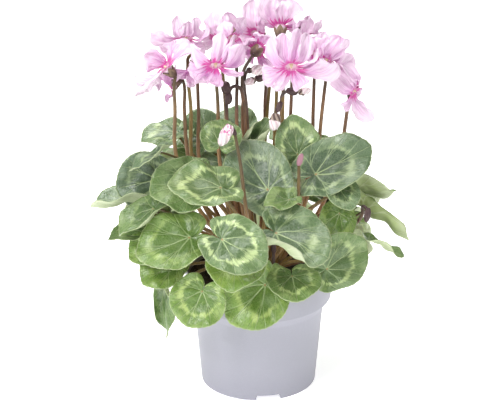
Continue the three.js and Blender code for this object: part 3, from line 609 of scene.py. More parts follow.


# %% [markdown]
# ## Leaves: the finish
# Five things make the leaf's face: a dark centre, light veins that fan out from the joint and fork, a
# jagged silver-lime ring two thirds of the way out, a plainer green rim and a fine light edge. All
# are sums of the numbers that the mesh carries, so that the pattern bends with the leaf. The lower a
# leaf sits, the more lime it is: `tone` goes from 0, grey green, to 1, lime. The grey green is cooled
# towards blue grey as painted sheen, and two leaves deep in the plant take a low tone as painted shade.


# %% Veins, shared by both sides of a leaf
def veins_of(finish, out, far, swing):
    """Where the veins are: main ones from the joint, and a fork on both sides of each."""
    seed, aside = finish.mark("seed"), abs(swing)
    stray = finish.speckle(finish.point(swing * 0.9, seed * 50.0), 1.0, 0.0)
    wiggle = finish.speckle(finish.point(out * 5.0, swing * 1.5, seed * 20.0), 1.0)
    bow = 0.3 * out * finish.maths("SINE", aside) + 0.5 * (stray - 0.5) + 0.06 * (wiggle - 0.5)
    from_vein = finish.maths("PINGPONG", aside + bow * finish.ramp(aside, 0.0, 0.5), VEIN_GAP / 2)
    main = finish.ramp(from_vein * far, 0.032 - 0.022 * out, 0.004) * finish.ramp(aside, 2.8, 0.1)
    branch = VEIN_GAP * 0.36 * finish.ramp(out, 0.2, 1.05)
    fork = finish.ramp(abs(from_vein - branch) * far, 0.02, 0.003) * finish.ramp(out, 0.3, 0.45)
    return finish.maths("MAXIMUM", main, 0.6 * fork)


# %% Upper side
face = Finish("leaf_face", Specular_IOR_Level=0.6, Coat_Weight=0.35, Coat_Roughness=0.3)
out, far, swing, tone, marbled, seed = face.marks("out far swing tone marbled seed")
flat = face.point(*face.marks("flat_x flat_y"), seed * 90.0)
veins = veins_of(face, out, far, swing)
slow = face.speckle(face.point(swing * 1.3, out * 1.5, seed * 31.0), 1.0)
jagged = face.speckle(face.point(swing * 6.0, out * 1.6, seed * 47.0), 1.0, 4.0, 0.7)
broken = face.speckle(face.point(swing * 1.7, out * 3.0, seed * 71.0), 1.0, 2.0)
patches = face.speckle(flat, 0.08, 3.0)
mottle = face.speckle(flat, 0.3, 3.0, 0.6)
cells = face.node("TexVoronoi", {"feature": "DISTANCE_TO_EDGE"}, {"Vector": flat, "Scale": 0.42})

ring_at = 0.44 + 0.46 * slow
ring = face.ramp(abs(out - ring_at) - 0.5 * (jagged - 0.4), 0.05, -0.05)
ring = ring * marbled * (0.3 + 0.9 * face.ramp(broken + 0.25 * (marbled - 0.5), 0.38, 0.6))
inside = face.ramp(out, ring_at + 0.04, ring_at - 0.1)
# The grey green end of the tone is cooled towards blue grey: partly the leaf's own colour, partly painted
# sheen.
body = face.mix(tone, shade(84, 106, 84), shade(116, 150, 56))
light_body = face.mix(tone, shade(144, 161, 144), shade(172, 194, 98))
body = face.mix(0.65 * face.ramp(patches, 0.45, 0.75), body, light_body)
centre = face.mix(tone, shade(58, 77, 65), shade(90, 126, 38))
colour = face.mix(inside * 0.8, body, centre)
colour = face.mix(0.3 * face.ramp(mottle, 0.5, 0.75), colour, light_body)
silver = face.mix(tone, shade(188, 206, 162), shade(196, 216, 124))
colour = face.mix(ring, colour, silver)
colour = face.mix(0.1 * face.ramp(cells, 0.12, 0.0), colour, silver)
colour = face.mix(veins * (0.9 - 0.55 * out), colour, shade(186, 206, 150))
colour = face.mix(0.75 * face.ramp(out, 0.97, 1.0), colour, shade(186, 200, 148))
colour = face.mix(face.ramp(out, 0.05, 0.015), colour, shade(170, 140, 90))
quilt = face.ramp(cells, 0.0, 0.6) * 0.25 - 0.5 * veins + 1.2 * patches + 0.3 * mottle
face.wear(colour, 0.24 + 0.26 * patches, quilt, 0.0011)

# %% [markdown]
# The underside is pale and matt, with the same veins raised instead of sunk. It shows wherever a leaf
# curls over, so it has a finish of its own, which Solidify gives to the second skin of the sheet.

# %% Underside
under = Finish("leaf_underside", Roughness=0.6)
out, far, swing, tone, seed = under.marks("out far swing tone seed")
veins = veins_of(under, out, far, swing)
flat = under.point(*under.marks("flat_x flat_y"), seed * 90.0)
patches = under.speckle(flat, 0.12, 3.0)
colour = under.mix(tone, shade(176, 188, 152), shade(146, 166, 92))
colour = under.mix(0.45 * patches + 0.4 * under.ramp(out, 0.7, 1.0), colour, shade(206, 214, 182))
colour = under.mix(0.55 * veins, colour, shade(216, 222, 186))
under.wear(colour, 0.55 + 0.15 * patches, veins + 0.3 * patches, 0.0005, 0.8)

# %% [markdown]
# ## Leaves: one by one
# Each row is a leaf of the plant: its joint and tip, its width, its tone, how marbled it is, where its
# face looks, and the habits that set it apart. A row without a face gives a leaf that looks up and out.
# Leaves with the same `node` press through each other and stand for one solid.


# %% What a row of the table holds
def heart(joint, tip, width, tone, marbled, face=None, **habits):
    """A leaf with the habits that its row names, and the usual ones for the rest."""
    usual = dict(cup=0.15, fold=0.1, wave=0.05, waves=5, left=0, left_from=0.15, right=0, right_from=0.15)
    own = dict(joint=joint, tip=tip, width=width, tone=tone, marbled=marbled, face=face)
    return {**usual, "lift": 0, **own, **habits}


# %% The leaves in front and on top
LEAVES = [
    heart((-67, 22, 210), (-94, 8, 206), 36, 0.3, 0.6, (-0.2, -0.3, 1), wave=0.07, waves=6),
    heart((-79, -26, 211), (-101, -38, 199), 38, 0.2, 0.6, (-0.7, 0.1, 0.9), lift=14),
    heart((-82, -10, 181), (-114, -14, 175), 50, 0.12, 0.6, (-0.2, -1, 0.35), node="leaves_left"),
    heart((-94, -14, 163), (-134, -22, 162), 40, 0.2, 0.4, (0, 0.22, 1), node="leaves_left", fold=0.5),
    heart((-84, -46, 170), (-110, -58, 154), 38, 0.5, 0.3, (-0.4, -0.3, 1), left=75, left_from=0.3),
    heart((-98, -8, 145), (-121, -16, 132), 34, 0.6, 0.2, (-0.4, 0.4, 1), node="leaves_low_left"),
    heart((-90, -28, 142), (-120, -38, 139), 36, 0.5, 0.3, (0, 0, 1), node="leaves_low_left", fold=0.3),
    heart((-49, -38, 189.7), (-84, -52, 185.7), 54, 0.5, 0.15, (-0.2, -0.7, 0.8), wave=0.08, right=50,
          right_from=0.3),
    heart((-30, -56, 192), (-70, -64, 196), 50, 0.5, 1, (0.1, -0.4, 1)),
    # Painted shade: this leaf's low tone and faint marbling make it darker, for the shade deep in the plant.
    heart((-44, 28, 199), (-50, 40, 223), 38, 0.3, 0.1, (-0.2, -1, 0.3)),
    heart((-31, -24, 217), (-28, -10, 232), 34, 0.55, 0.6, (-0.1, -1, 0.8)),
    heart((7, -38, 183), (-18, -14, 213), 52, 0.2, 0.55, (0.1, -1, 0.4)),
    heart((-6, -3, 208.6), (9, 2, 227), 42, 0.4, 0.25, (-0.2, -1, 0.6), left=130, right=130,
          left_from=0.08, right_from=0.08, cup=0.3),
    # Painted shade: this leaf's low tone and faint marbling make it darker, for the shade deep in the plant.
    heart((-15, 36, 204), (-32, 54, 215), 40, 0.3, 0.1, (-0.1, -0.7, 0.8)),
    heart((31, -17, 205), (27, -9, 235), 34, 0.45, 0.8, (0, -1, 0.2), right=-40),
    heart((45, -30, 193), (88, -12, 210), 46, 0.2, 0.5, (0.1, -1, 0.9)),
    heart((64, -32, 182.5), (74, -48, 171.5), 28, 0.3, 0.7, (0.3, -1, 0.7)),
    heart((24, -54, 181), (5, -64, 180), 22, 0.6, 0.3, (0, -0.5, 0.9), fold=0.5, wave=0.12),
    heart((13, -74, 161), (52, -96, 149), 60, 0.3, 0.5, (0.2, -0.6, 0.9), right=140, right_from=0.22),
    heart((54, -56, 122), (84, -48, 143), 44, 0.5, 0.7, (0.4, -1, 0.5)),
    heart((65, -26, 158), (56, -44, 141), 32, 0.85, 0.3, (0.3, -0.8, 0.6)),
    heart((76, 0, 167), (109, -12, 171), 40, 0.8, 0.1, (0, 0.8, 0.75), node="leaves_right"),
    heart((86, -14, 156), (119, -26, 134), 42, 1, 0.1, (0.3, 0.7, 0.8), node="leaves_right", fold=0.6,
          right=100, right_from=0.15, left=50),
    heart((88, -34, 139), (115, -44, 128), 28, 0.5, 0.2, (0.3, 0.3, 1)),
    heart((26, -74, 124), (30, -100, 114), 44, 0.65, 0.7, (0.1, -0.5, 1)),
    heart((5, -66, 113), (-22, -80, 87), 54, 0.9, 0.6, (0.1, -1, 0.4)),
    heart((-18, -68, 139), (-20, -96, 122), 48, 0.95, 0.35, (0, -0.6, 1)),
    heart((-29, -96, 165), (4, -110, 152), 48, 0.4, 1, (-0.1, -0.8, 0.8)),
    heart((-55, -62, 152), (-95, -74, 142), 50, 0.75, 0.4, (-0.2, -0.7, 0.8)),
    heart((-70, -46, 123.5), (-92, -58, 110.5), 38, 0.85, 0.2, (-0.3, -0.8, 0.7), node="leaves_rim_left"),
    heart((-45, -74, 111), (-57, -84, 86), 46, 0.8, 0.7, (-0.1, -1, 0.3)),
    heart((-76, -51, 103), (-73, -61, 66), 28, 0.5, 0.1, (-0.8, -0.5, 0.2), node="leaves_rim_left",
          lift=8, right=60, wave=0.1),
    heart((-83, -40, 137), (-103, -47, 127), 34, 0.8, 0.3, (-0.3, -0.6, 0.8), node="leaves_low_left",
          lift=7),
]

# %% [markdown]
# The leaves behind hang in twos and threes, one over the other, so that the plant is as full at its
# back. Each list of them stands for one solid.

# %% The leaves behind
REAR_GROUPS = [
    [heart((28, 44, 194), (48, 72, 187), 50, 0.4, 0.7),
     heart((46, 70, 182), (62, 94, 156), 50, 0.5, 0.9, (0.6, 0.8, 0.5))],
    [heart((-16, 58, 194), (-27, 90, 185), 48, 0.6, 0.4),
     heart((-24, 84, 181), (-33, 110, 155), 50, 0.3, 0.9, (-0.3, 0.9, 0.5))],
    [heart((-50, 46, 188), (-75, 65, 179), 48, 0.4, 0.5),
     heart((-70, 64, 174), (-91, 81, 148), 48, 0.8, 0.7, (-0.8, 0.7, 0.5)),
     heart((-44, 31, 183), (-62, 44, 200), 44, 0.5, 0.1, (-0.2, -0.6, 0.8)),
     heart((-28, 22, 182), (-48, 8, 177), 38, 0.3, 0.1, (-0.1, -0.6, 0.8))],
    [heart((56, 34, 170), (82, 52, 159), 46, 0.8, 0.7),
     heart((76, 48, 158), (94, 64, 132), 46, 0.6, 0.5, (0.9, 0.7, 0.5))],
    [heart((6, 58, 180), (11, 86, 161), 46, 0.2, 0.6, (0.1, 0.8, 0.7)),
     heart((12, 86, 160), (18, 114, 149), 48, 0.6, 0.9),
     heart((18, 106, 149), (22, 122, 118), 46, 0.6, 0.8, (0.2, 0.9, 0.4))],
    [heart((-78, 28, 156), (-103, 38, 145), 44, 0.7, 0.4),
     heart((-96, 38, 143), (-109, 46, 115), 42, 0.7, 0.8, (-0.9, 0.5, 0.4))],
    [heart((58, 62, 128), (79, 85, 115), 48, 0.4, 0.4),
     heart((74, 78, 114), (85, 91, 81), 44, 0.8, 0.7, (0.8, 0.8, 0.3)),
     heart((42, 70, 150), (52, 94, 121), 46, 0.75, 0.5, (0.4, 0.9, 0.4))],
    [heart((-4, 82, 128), (-6, 110, 114), 48, 0.7, 0.9),
     heart((-6, 102, 113), (-8, 113, 79), 44, 0.7, 1.0, (0, 1, 0.3)),
     heart((24, 84, 124), (31, 104, 97), 42, 0.95, 0.4, (0.3, 0.9, 0.4))],
    [heart((-52, 69, 128), (-71, 92, 113), 44, 0.5, 0.9),
     heart((-66, 84, 112), (-75, 95, 79), 44, 0.5, 1.0, (-0.7, 0.8, 0.3)),
     heart((-32, 74, 148), (-44, 96, 120), 44, 0.85, 0.6, (-0.4, 0.9, 0.4))],
    [heart((-72, 36, 126), (-91, 48, 113), 42, 0.8, 0.5),
     heart((-84, 46, 112), (-91, 54, 85), 38, 0.3, 0.5, (-1, 0.6, 0.3)),
     heart((-73, 44, 139), (-88, 52, 111), 30, 0.6, 0.8, (-0.8, 0.7, 0.4))],
    [heart((66, 14, 140), (89, 24, 129), 42, 0.8, 0.7),
     heart((79, 22, 127), (86, 30, 99), 38, 0.6, 0.6, (1, 0.4, 0.4))],
]
REAR_LEAVES = [dict(row, node=f"leaves_back_{i}")
               for i, group in enumerate(REAR_GROUPS, 1) for row in group]

print("leaves:", len(LEAVES), "in front and", len(REAR_LEAVES), "behind")

# %% [markdown]
# A blade is grown as a sheet with no thickness. Solidify then makes it half a millimetre thick and gives
# it its underside. The leaves behind need fewer points, because they are seen from farther off.

# %% Grow the leaves
LEAF_THICK, FRONT_GRID, REAR_GRID = 0.5, (128, 14), (84, 10)


def grow_leaves(rows, across, along):
    """Grow every leaf of a table and join those that stand for one solid."""
    blades = {}
    for i, leaf in enumerate(rows, 1):
        node = leaf.get("node", f"leaf_{i}")
        blade = leaf_blade(f"blade_{i}", leaf, across, along, (face.material, under.material))
        blades.setdefault(node, []).append(blade)
    for node, sheets in blades.items():
        whole = join(node.replace("leaf", "blade").replace("leaves", "blades"), sheets)
        apply_modifier(whole, "SOLIDIFY", thickness=LEAF_THICK * MM, offset=0, material_offset=1)
        hand_over(whole, node)


grow_leaves(LEAVES, *FRONT_GRID)
grow_leaves(REAR_LEAVES, *REAR_GRID)

# %% [markdown]
# ## Stalks
# Leaf stalks arch out from the tuber and meet the blade from below. They are fleshy, with fine hairs
# that only show as a soft sheen, and go from wine red to olive. Flower stalks rise steeply, are thicker,
# and darken towards the bloom. `red` says how far a stalk is from olive. The finish reads that number
# and how far along the stalk a point is, and stretches its noise upwards, like fibres.

# %% Stalk finish
stem = Finish("fleshy_stalk", Roughness=0.5, Sheen_Weight=0.25, Sheen_Roughness=0.5)
along, red = stem.marks("along red")
spot = stem.place()
drawn_up = stem.node("VectorMath", {"operation": "MULTIPLY"}, {0: spot, 1: (900, 900, 60)})
streaks = stem.speckle(drawn_up, 1.0)
blush = stem.speckle(spot, 30.0, 2.0)
light = stem.mix(red, shade(172, 144, 84), shade(184, 134, 100))
dark = stem.mix(red, shade(118, 104, 46), shade(62, 42, 42))
colour = stem.mix(stem.ramp(along + 0.5 * (blush - 0.5), 0.25, 0.85), light, dark)
colour = stem.mix(0.45 * stem.ramp(streaks, 0.45, 0.7), colour, shade(92, 58, 54))
stem.wear(colour, 0.42 + 0.2 * streaks, streaks, 0.0003, 0.7)


# %% [markdown]
# A stalk could be a curve with a bevel. As a tube of the grid it keeps the numbers that its finish needs.
# A leaf stalk is one Bezier arc that leaves the tuber on the side it leans to and ends square below its
# blade. A flower stalk runs smoothly through a few points of its own.


# %% Where a stalk starts, and a smooth way through points
def root_towards(place, radius):
    """A stalk's foot on the tuber, on the side that it leans to."""
    side = Vector((place.x, place.y, 0)).normalized() * radius
    rise = TUBER_HALF * math.sqrt(1 - (radius / TUBER_RADIUS) ** 2)
    return Vector((side.x, side.y, TUBER_HEIGHT + rise - 2.5))


def smooth_path(points, steps):
    """A smooth path through points, as a Bezier curve with automatic handles would give."""
    last = len(points) - 1
    headings = []
    for i in range(last + 1):
        before = (points[i] - points[max(i - 1, 0)]).normalized()
        after = (points[min(i + 1, last)] - points[i]).normalized()
        headings.append((before + after).normalized())
    path = []
    for i in range(last):
        start, end = points[i], points[i + 1]
        pull = (end - start).length * 0.36
        handles = (start, start + headings[i] * pull, end - headings[i + 1] * pull, end)
        path += geometry.interpolate_bezier(*handles, steps)[:-1]
    return [*path, points[last]]


# %% Leaf stalks
BELOW_BLADE, STALK_FOOT, STALK_TAPER = 0.45, 1.75, 0.85


def leaf_stalk(leaf):
    """A stalk that rises from the tuber, leans out and meets its blade square from below."""
    joint, _, up, *_ = leaf_axes(leaf)
    end = joint - up * BELOW_BLADE
    rise = end.z - TUBER_HEIGHT
    root = root_towards(end, min(20, max(9, 21 - rise / 10)))
    run = Vector((end.x - root.x, end.y - root.y, 0))
    first = root + run * 0.12 + Vector((0, 0, 0.45 * rise + 12 + leaf["lift"]))
    second = end - up * (0.3 * run.length) - run * 0.1 + Vector((0, 0, leaf["lift"]))
    path = geometry.interpolate_bezier(root, first, second, end, 22)
    return tube("leaf_stalk", path, 8, lambda part, turn: STALK_FOOT - STALK_TAPER * part, stem.material,
                {"red": chance.uniform(0.1, 0.8)})


leaf_stalks = join("leaf_stalks", [leaf_stalk(leaf) for leaf in LEAVES + REAR_LEAVES])
hand_over(leaf_stalks, "tuber_and_stalks")

# %% [markdown]
# ## Blooms: the form
# A cyclamen bloom nods, but its petals are flung back, so that they stand up like shuttlecocks. A row of
# a petal says where its tip is, seen from the middle of the mouth, and how wide it is. Where two more
# numbers follow, they make it paler and turn it by some degrees. A petal leaves the mouth at an even
# share of the circle, swings to its own tip and lifts one edge over its neighbour.

# %% The blooms of the plant
BLOOMS = [
    dict(name="left", mouth=(-74, -14, 278), look=(-0.7, -0.05, 0.7), pale=0.65, petals=[
        (19, 6, 17, 24, 0, 25), (7, 12, 17, 15), (-17, 6, 8, 16), (-22, 4, -9, 24, 0.2, 65),
        (-15, 0, -19, 20, 0.2, 65), (-6, 5, -22, 9)]),
    dict(name="left_low", mouth=(-71, 4, 256), look=(-0.8, -0.2, -0.5), pale=0.05, petals=[
        (6, 12, 12, 10), (0, 0, 14, 10), (-4, 4, -12, 8), (-12, 8, 3, 9)]),
    dict(name="nodding", mouth=(-52, -4, 272), look=(-0.1, -0.45, -0.9), pale=0.1, petals=[
        (-4, -3, -11, 12), (-16, 6, -1, 12), (8, 0, -9, 11), (-8, 2, -8, 10)]),
    dict(name="left_high", mouth=(-58, 8, 295), look=(0, -0.62, -0.78), pale=0.7, petals=[
        (-7, 3, 17, 13), (1, 1, 13, 14), (8, 3, 16, 13), (-25, 4, 4, 19, 0, 50), (-20, 4, -8, 17, 0, 30),
        (18, 6, 9, 15, 0, -40), (14, 4, -8, 16, 0, -30)]),
    dict(name="middle_high", mouth=(-32, 14, 294), look=(0, -0.66, -0.75), pale=0.8, petals=[
        (-5, 3, 20, 15), (7, 3, 20, 15), (-16, 3, 5, 14, 0, 40), (-14, 4, -8, 15, 0, 30),
        (13, 5, -5, 13, 0, -30)]),
    dict(name="middle", mouth=(-21, -4, 299), look=(0.2, -0.8, -0.6), pale=0.75, petals=[
        (9, 5, 14, 16), (7, 8, -9, 13), (-2, 3, -15, 13), (-8, 5, 12, 15)]),
    dict(name="front_left", mouth=(-34, -34, 286), look=(0, -0.76, -0.65), pale=0.4, petals=[
        (4, 9, 26, 15), (15, 11, 21, 12), (19, 8, 14, 18), (20, 3, -6, 11, -0.5), (-19, 7, 13, 16),
        (-22, 4, -4, 14), (-17, 1, -14, 18), (-6, 0, -15, 20)]),
    dict(name="crown_left", mouth=(-2, 16, 296), look=(-0.35, -0.75, -0.55), pale=0.9, petals=[
        (-4, 5, 25, 17), (-16, 5, 10, 19, 0, 35), (6, 5, 16, 13), (-13, 2, -8, 16, 0, 30),
        (8, 5, -5, 12)]),
    dict(name="crown", node="crown", mouth=(17, 6, 305), look=(0.05, 0.75, 0.65), pale=0.75, petals=[
        (-6, 1, 24, 16), (5, 4, 22, 22), (22, 8, 6, 19), (14, -8, -7, 15, -0.7), (-13, 4, 4, 15)]),
    dict(name="crown_right", node="crown", mouth=(36, 20, 293), look=(0.2, -0.7, -0.7), pale=0.85, petals=[
        (2, 0, 16, 15), (12, 3, 12, 20), (14, 4, 2, 16, 0, -40), (-8, 5, 13, 13), (4, 4, -12, 14)]),
    dict(name="turned", mouth=(-1, 0, 288), look=(0.3, 0.85, 0.05), pale=0.2, petals=[
        (-8, -5, 10, 15), (4, -2, 14, 16), (13, 2, 2, 15), (9, -4, -13, 15), (-11, 2, -6, 14)]),
    dict(name="front_right", mouth=(25, -34, 285), look=(0, -0.84, -0.54), pale=0.5, petals=[
        (-13, 7, 22, 18), (-5, 9, 23, 13), (5, 9, 27, 12), (12, 8, 24, 14), (21, 7, 11, 17),
        (34, 3, 1, 25, 0, -30), (-22, 4, -11, 20, 0, 20), (-9, 1, -20, 17), (7, 0, -19, 19)]),
    dict(name="right_cup", mouth=(47, 10, 281), look=(0, -0.8, -0.6), pale=0.35, petals=[
        (-5, 1, 14, 18), (6, 5, 18, 16), (11, 4, 8, 15), (-10, 5, 3, 14), (2, 2, -12, 14)]),
    dict(name="right", node="right", mouth=(54, -4, 281), look=(-0.35, -0.5, -0.75), pale=0.55, petals=[
        (10, 3, 19, 18), (19, 4, 14, 19), (20, 3, 3, 17, 0, -30), (16, 1, -7, 14, 0, -20),
        (5, 0, -16, 15), (0, 4, 16, 13)]),
    dict(name="right_low", node="right", mouth=(76, -10, 257), look=(0.7, -0.4, -0.4), pale=0.7, petals=[
        (-18, 3, 14, 18), (-12, 4, 22, 17), (-8, 5, 10, 13), (-10, -3, -13, 12), (16, 2, -25, 13),
        (4, 8, -5, 8)]),
]
print(len(BLOOMS), "blooms with", sum(len(bloom["petals"]) for bloom in BLOOMS), "petals")

# %% [markdown]
# ## Blooms: the finish
# A petal is pale inside the mouth, then magenta in short ragged rays, then lilac pink with darker lines
# that run to its tip, and almost white at its edge. The lines are veins, painted darker as well to stand
# in for shade in the folds, and a darker stripe down the creased middle is painted shade. `pale` tells a
# fresh pink bloom from one that the light has faded. Petals and throat are given a painted glow of a
# pinker colour, which lightens their shadows in place of the light that thin petals let through.

# %% Petal finish
# Painted glow: petals and throat give off a little light of a petal colour, which lightens their shadows.
PAINTED_GLOW = 0.15
petal = Finish("pink_petal", Roughness=0.6, Sheen_Weight=0.15, Emission_Strength=PAINTED_GLOW)
along, across, pale, seed = petal.marks("along across pale seed")
aside = abs(across)
lines = petal.speckle(petal.point(across * 9.0, along * 1.2, seed * 37.0), 1.0, 3.0, 0.6)
fine = petal.speckle(petal.point(across * 26.0, along * 2.0, seed * 17.0), 1.0, 2.0, 0.6)
cloud = petal.speckle(petal.point(across * 1.5, along * 2.5, seed * 53.0), 1.0, 2.0)
pink = petal.mix(pale, shade(188, 110, 176), shade(224, 194, 217))
white = petal.mix(pale, shade(228, 198, 222), shade(234, 218, 230))
spread = along + 0.9 * (cloud - 0.5) + 0.25 * aside ** 2.0 - 0.1
colour = petal.mix(petal.ramp(spread, 0.05, 0.75), pink, white)
# The lines are veins, but their colour is darkened to stand in for shade in the petal's folds: partly
# painted shade.
veins_and_fold_shade = petal.mix(pale, shade(174, 96, 164), shade(206, 158, 198))
fading = petal.ramp(lines, 0.5, 0.62) * petal.ramp(along, 1.15, 0.25)
colour = petal.mix(0.8 * fading, colour, veins_and_fold_shade)
colour = petal.mix(0.3 * petal.ramp(fine, 0.5, 0.7), colour, veins_and_fold_shade)
# Painted shade: a darker stripe down the petal's creased middle.
crease_shade = petal.ramp(aside, 0.1, 0.0) * petal.ramp(along, 0.95, 0.6)
colour = petal.mix(0.35 * crease_shade, colour, veins_and_fold_shade)
rays = petal.speckle(petal.point(across * 5.0, along * 0.6, seed * 61.0), 1.0, 2.0, 0.7)
ragged = along - 0.8 * (rays - 0.45)
colour = petal.mix(petal.ramp(ragged, 0.2, 0.11), colour, shade(192, 54, 142))
colour = petal.mix(0.4 * petal.ramp(along + 0.2 * (rays - 0.5), 0.05, 0.01), colour, shade(244, 220, 236))
# The painted glow is pinker than the petal, so that its shadows turn pink.
painted_glow = petal.mix(0.35, colour, shade(222, 136, 190))
petal.wear(colour, 0.5 + 0.2 * cloud, lines + 0.5 * fine, 0.0006, 0.7, painted_glow)

# %% Throat and anther finishes
# The throat gives off its own colour as painted glow, which lightens it in the shade of the bowl.
throat = Finish("pale_throat", Roughness=0.55, Emission_Strength=PAINTED_GLOW)
along, turn = throat.marks("along turn")
stripes = throat.speckle(throat.point(turn * 3.0, along * 2.0), 1.0, 2.0)
colour = throat.mix(stripes, shade(246, 232, 240), shade(228, 190, 216))
stained = throat.ramp(along + 0.5 * (stripes - 0.5), 0.78, 1.05)
colour = throat.mix(0.85 * stained, colour, shade(198, 84, 154))
throat.wear(colour, 0.5 + 0.1 * stripes, stripes, 0.0002, painted_glow=colour)
anther = Finish("cream_anther", Roughness=0.7)
pollen = anther.speckle(anther.place(), 2500.0, 2.0)
colour = anther.mix(pollen, shade(218, 196, 148), shade(246, 236, 206))
anther.wear(colour, 0.6 + 0.2 * pollen, pollen, 0.0002)

# %% [markdown]
# All of a bloom is measured from the middle of its mouth. Seen along the way that the mouth looks, each
# tip has a turn round it, a distance from it and a height over it. Sorting the tips by their turn gives
# the order in which the petals leave the rim, so that none has to cross another.

# %% Where a bloom's petals go
MOUTH, CUP_DEPTH, PETAL_ARCH, PETAL_THICK = 4.2, 6, 2.0, 0.35


def bloom_axes(bloom):
    """The middle of the mouth, the way it looks, and two directions across it."""
    axis = Vector(bloom["look"]).normalized()
    first = (Vector((0, 0, 1)) - axis * axis.z).normalized()
    return Vector(bloom["mouth"]), axis, first, axis.cross(first)


def petal_width(along):
    """The width of a petal along it, as a part of its widest."""
    return (0.7 + 0.3 * smoothstep(along, 0.25, 0.65)) * math.sqrt(1 - max(0.0, (along - 0.6) / 0.4) ** 2.8)


def petal_tips(bloom):
    """Every tip as turn, distance, height, width, paleness and twist, in the order round the mouth."""
    _, axis, first, second = bloom_axes(bloom)
    tips = []
    for x, y, z, width, *more in bloom["petals"]:
        tip = Vector((x, y, z))
        height = tip.dot(axis)
        far = max(MOUTH + 2.5, math.sqrt(max(0.0, tip.length_squared - height ** 2)))
        tips.append((math.atan2(tip.dot(second), tip.dot(first)), far, height, width, *[*more, 0, 0][:2]))
    return sorted(tips)


# %% [markdown]
# A petal is a ribbon: a spine runs from the rim of the mouth to the tip, and at each step along it a
# cross-section is laid square to it. The section is creased in its middle, waved and rolled at its
# edges and turned a little, each by an amount that differs from petal to petal.


# %% The spine of a petal
def petal_spine(bloom, tips, i):
    """A petal's way out of the mouth, as a function that gives a point and the ray it lies on."""
    middle, axis, first, second = bloom_axes(bloom)
    share = 2 * math.pi / len(tips)
    start = i * share + sum(tip[0] - k * share for k, tip in enumerate(tips)) / len(tips)
    end, far, tip_height = tips[i][:3]

    def spine(along):
        turn = start * (1 - along) + end * along
        ray = ray_at(turn, first, second)
        radius = MOUTH + (far - MOUTH) * (1 - max(0.0, 1 - along) ** 1.4)
        height = PETAL_ARCH * math.sin(math.pi * along) + tip_height * max(0.0, along) ** 1.7
        return middle + ray * radius + axis * height, ray

    return spine


# %% Grow one petal
CREASE, PLEAT, PLEATS, WAVE, FRILL, CRUMPLE = 0.5, 0.09, 9.5, 1.8, 0.15, 1.5
FAN, TIP_LIFT, CURL, CURL_FROM, SPIN = 0.2, 2, 62, 0.45, math.radians(30)
PETAL_GRID = (18, 30)


def grow_petal(bloom, tips, i, seed):
    """A petal as a ribbon: narrow as a claw at the mouth, and open from two fifths of its way on."""
    axis = bloom_axes(bloom)[1]
    spine = petal_spine(bloom, tips, i)
    width, paler, twist = tips[i][3:]
    claw = 1.15 * MOUTH * math.pi / len(tips)
    crease = CREASE * math.sin(60 * seed)
    turned = SPIN * math.sin(40 * seed) + math.radians(twist)
    curls = [CURL * math.sin(25 * seed + k) for k in (0, 2)]
    pale = min(1.0, max(0.0, bloom["pale"] + paler + 0.25 * math.sin(50 * seed)))

    def place(u, v):
        across, along = 1 - 2 * u, 1 - (1 - v) ** 1.3
        middle, ray = spine(along)
        ahead = (spine(along + 0.01)[0] - spine(along - 0.01)[0]).normalized()
        side_way = axis.cross(ray)
        side_way = (side_way - ahead * ahead.dot(side_way)).normalized()
        lift_way = ahead.cross(side_way)
        opened = smoothstep(along, 0, 0.4)
        half = claw + (0.5 * width * petal_width(along) - claw) * opened
        frill = math.sin(12 * along + 7 * seed + 3 * across) + 0.4 * math.sin(31 * along)
        half *= 1 + FRILL * along * frill
        pleat = PLEAT * math.cos(PLEATS * across + seed)
        lift = half * opened * (crease * (math.sqrt(across ** 2 + 0.04) - 0.2) + pleat)
        lift += WAVE * along * across ** 2 * math.sin(11 * along + 3 * across + 9 * seed)
        lift += CRUMPLE * opened * noise.noise(Vector((0.3 * across * half, 5 * along, 90 * seed)))
        lift += FAN * across * half + TIP_LIFT * smoothstep(along, 0.6, 1) ** 2 * math.sin(33 * seed)
        side = across * half
        for curl in curls:
            if half > 1:
                side, lift = rolled(side, lift, CURL_FROM * half, half, curl * opened)
            side = -side
        spin = turned * smoothstep(along, 0.1, 1)
        side, lift = (side * math.cos(spin) - lift * math.sin(spin),
                      side * math.sin(spin) + lift * math.cos(spin))
        bow = (MOUTH - math.sqrt(MOUTH ** 2 - min(side ** 2, 9))) * max(0, 1 - 4 * along)
        spot = middle + side_way * side + lift_way * lift - ray * bow
        return spot, {"along": along, "across": across, "pale": pale, "seed": seed}

    return grow("petal", *PETAL_GRID, place, petal.material)


# %% [markdown]
# Behind the mouth lies a little bowl, and five cream anthers stand in it as a cone. They show only where
# a bloom turns its mouth to the viewer. The bowl is a grid rolled round the bloom's axis, and so is the
# calyx later on. The anthers are short tubes that lean on each other.


# %% A skin round a bloom's axis, and the throat
def spun(name, bloom, across, along, profile, material):
    """A skin round the axis of a bloom; profile(u, v) gives its radius and its height."""
    middle, axis, first, second = bloom_axes(bloom)

    def place(u, v):
        turn = -2 * math.pi * u
        radius, height = profile(u, v)
        spot = middle + ray_at(turn, first, second) * radius + axis * height
        return spot, {"along": v, "turn": turn}

    return grow(name, across, along, place, material)


def throat_profile(u, v):
    """The little bowl behind the mouth."""
    return MOUTH * 1.04 * math.sin(0.5 * math.pi * v), -CUP_DEPTH * (1 - v ** 1.6)


# %% Anthers
ANTHERS, ANTHER_FOOT, ANTHER_STEPS = 5, -4.5, (0, 1.5, 3, 4.2)


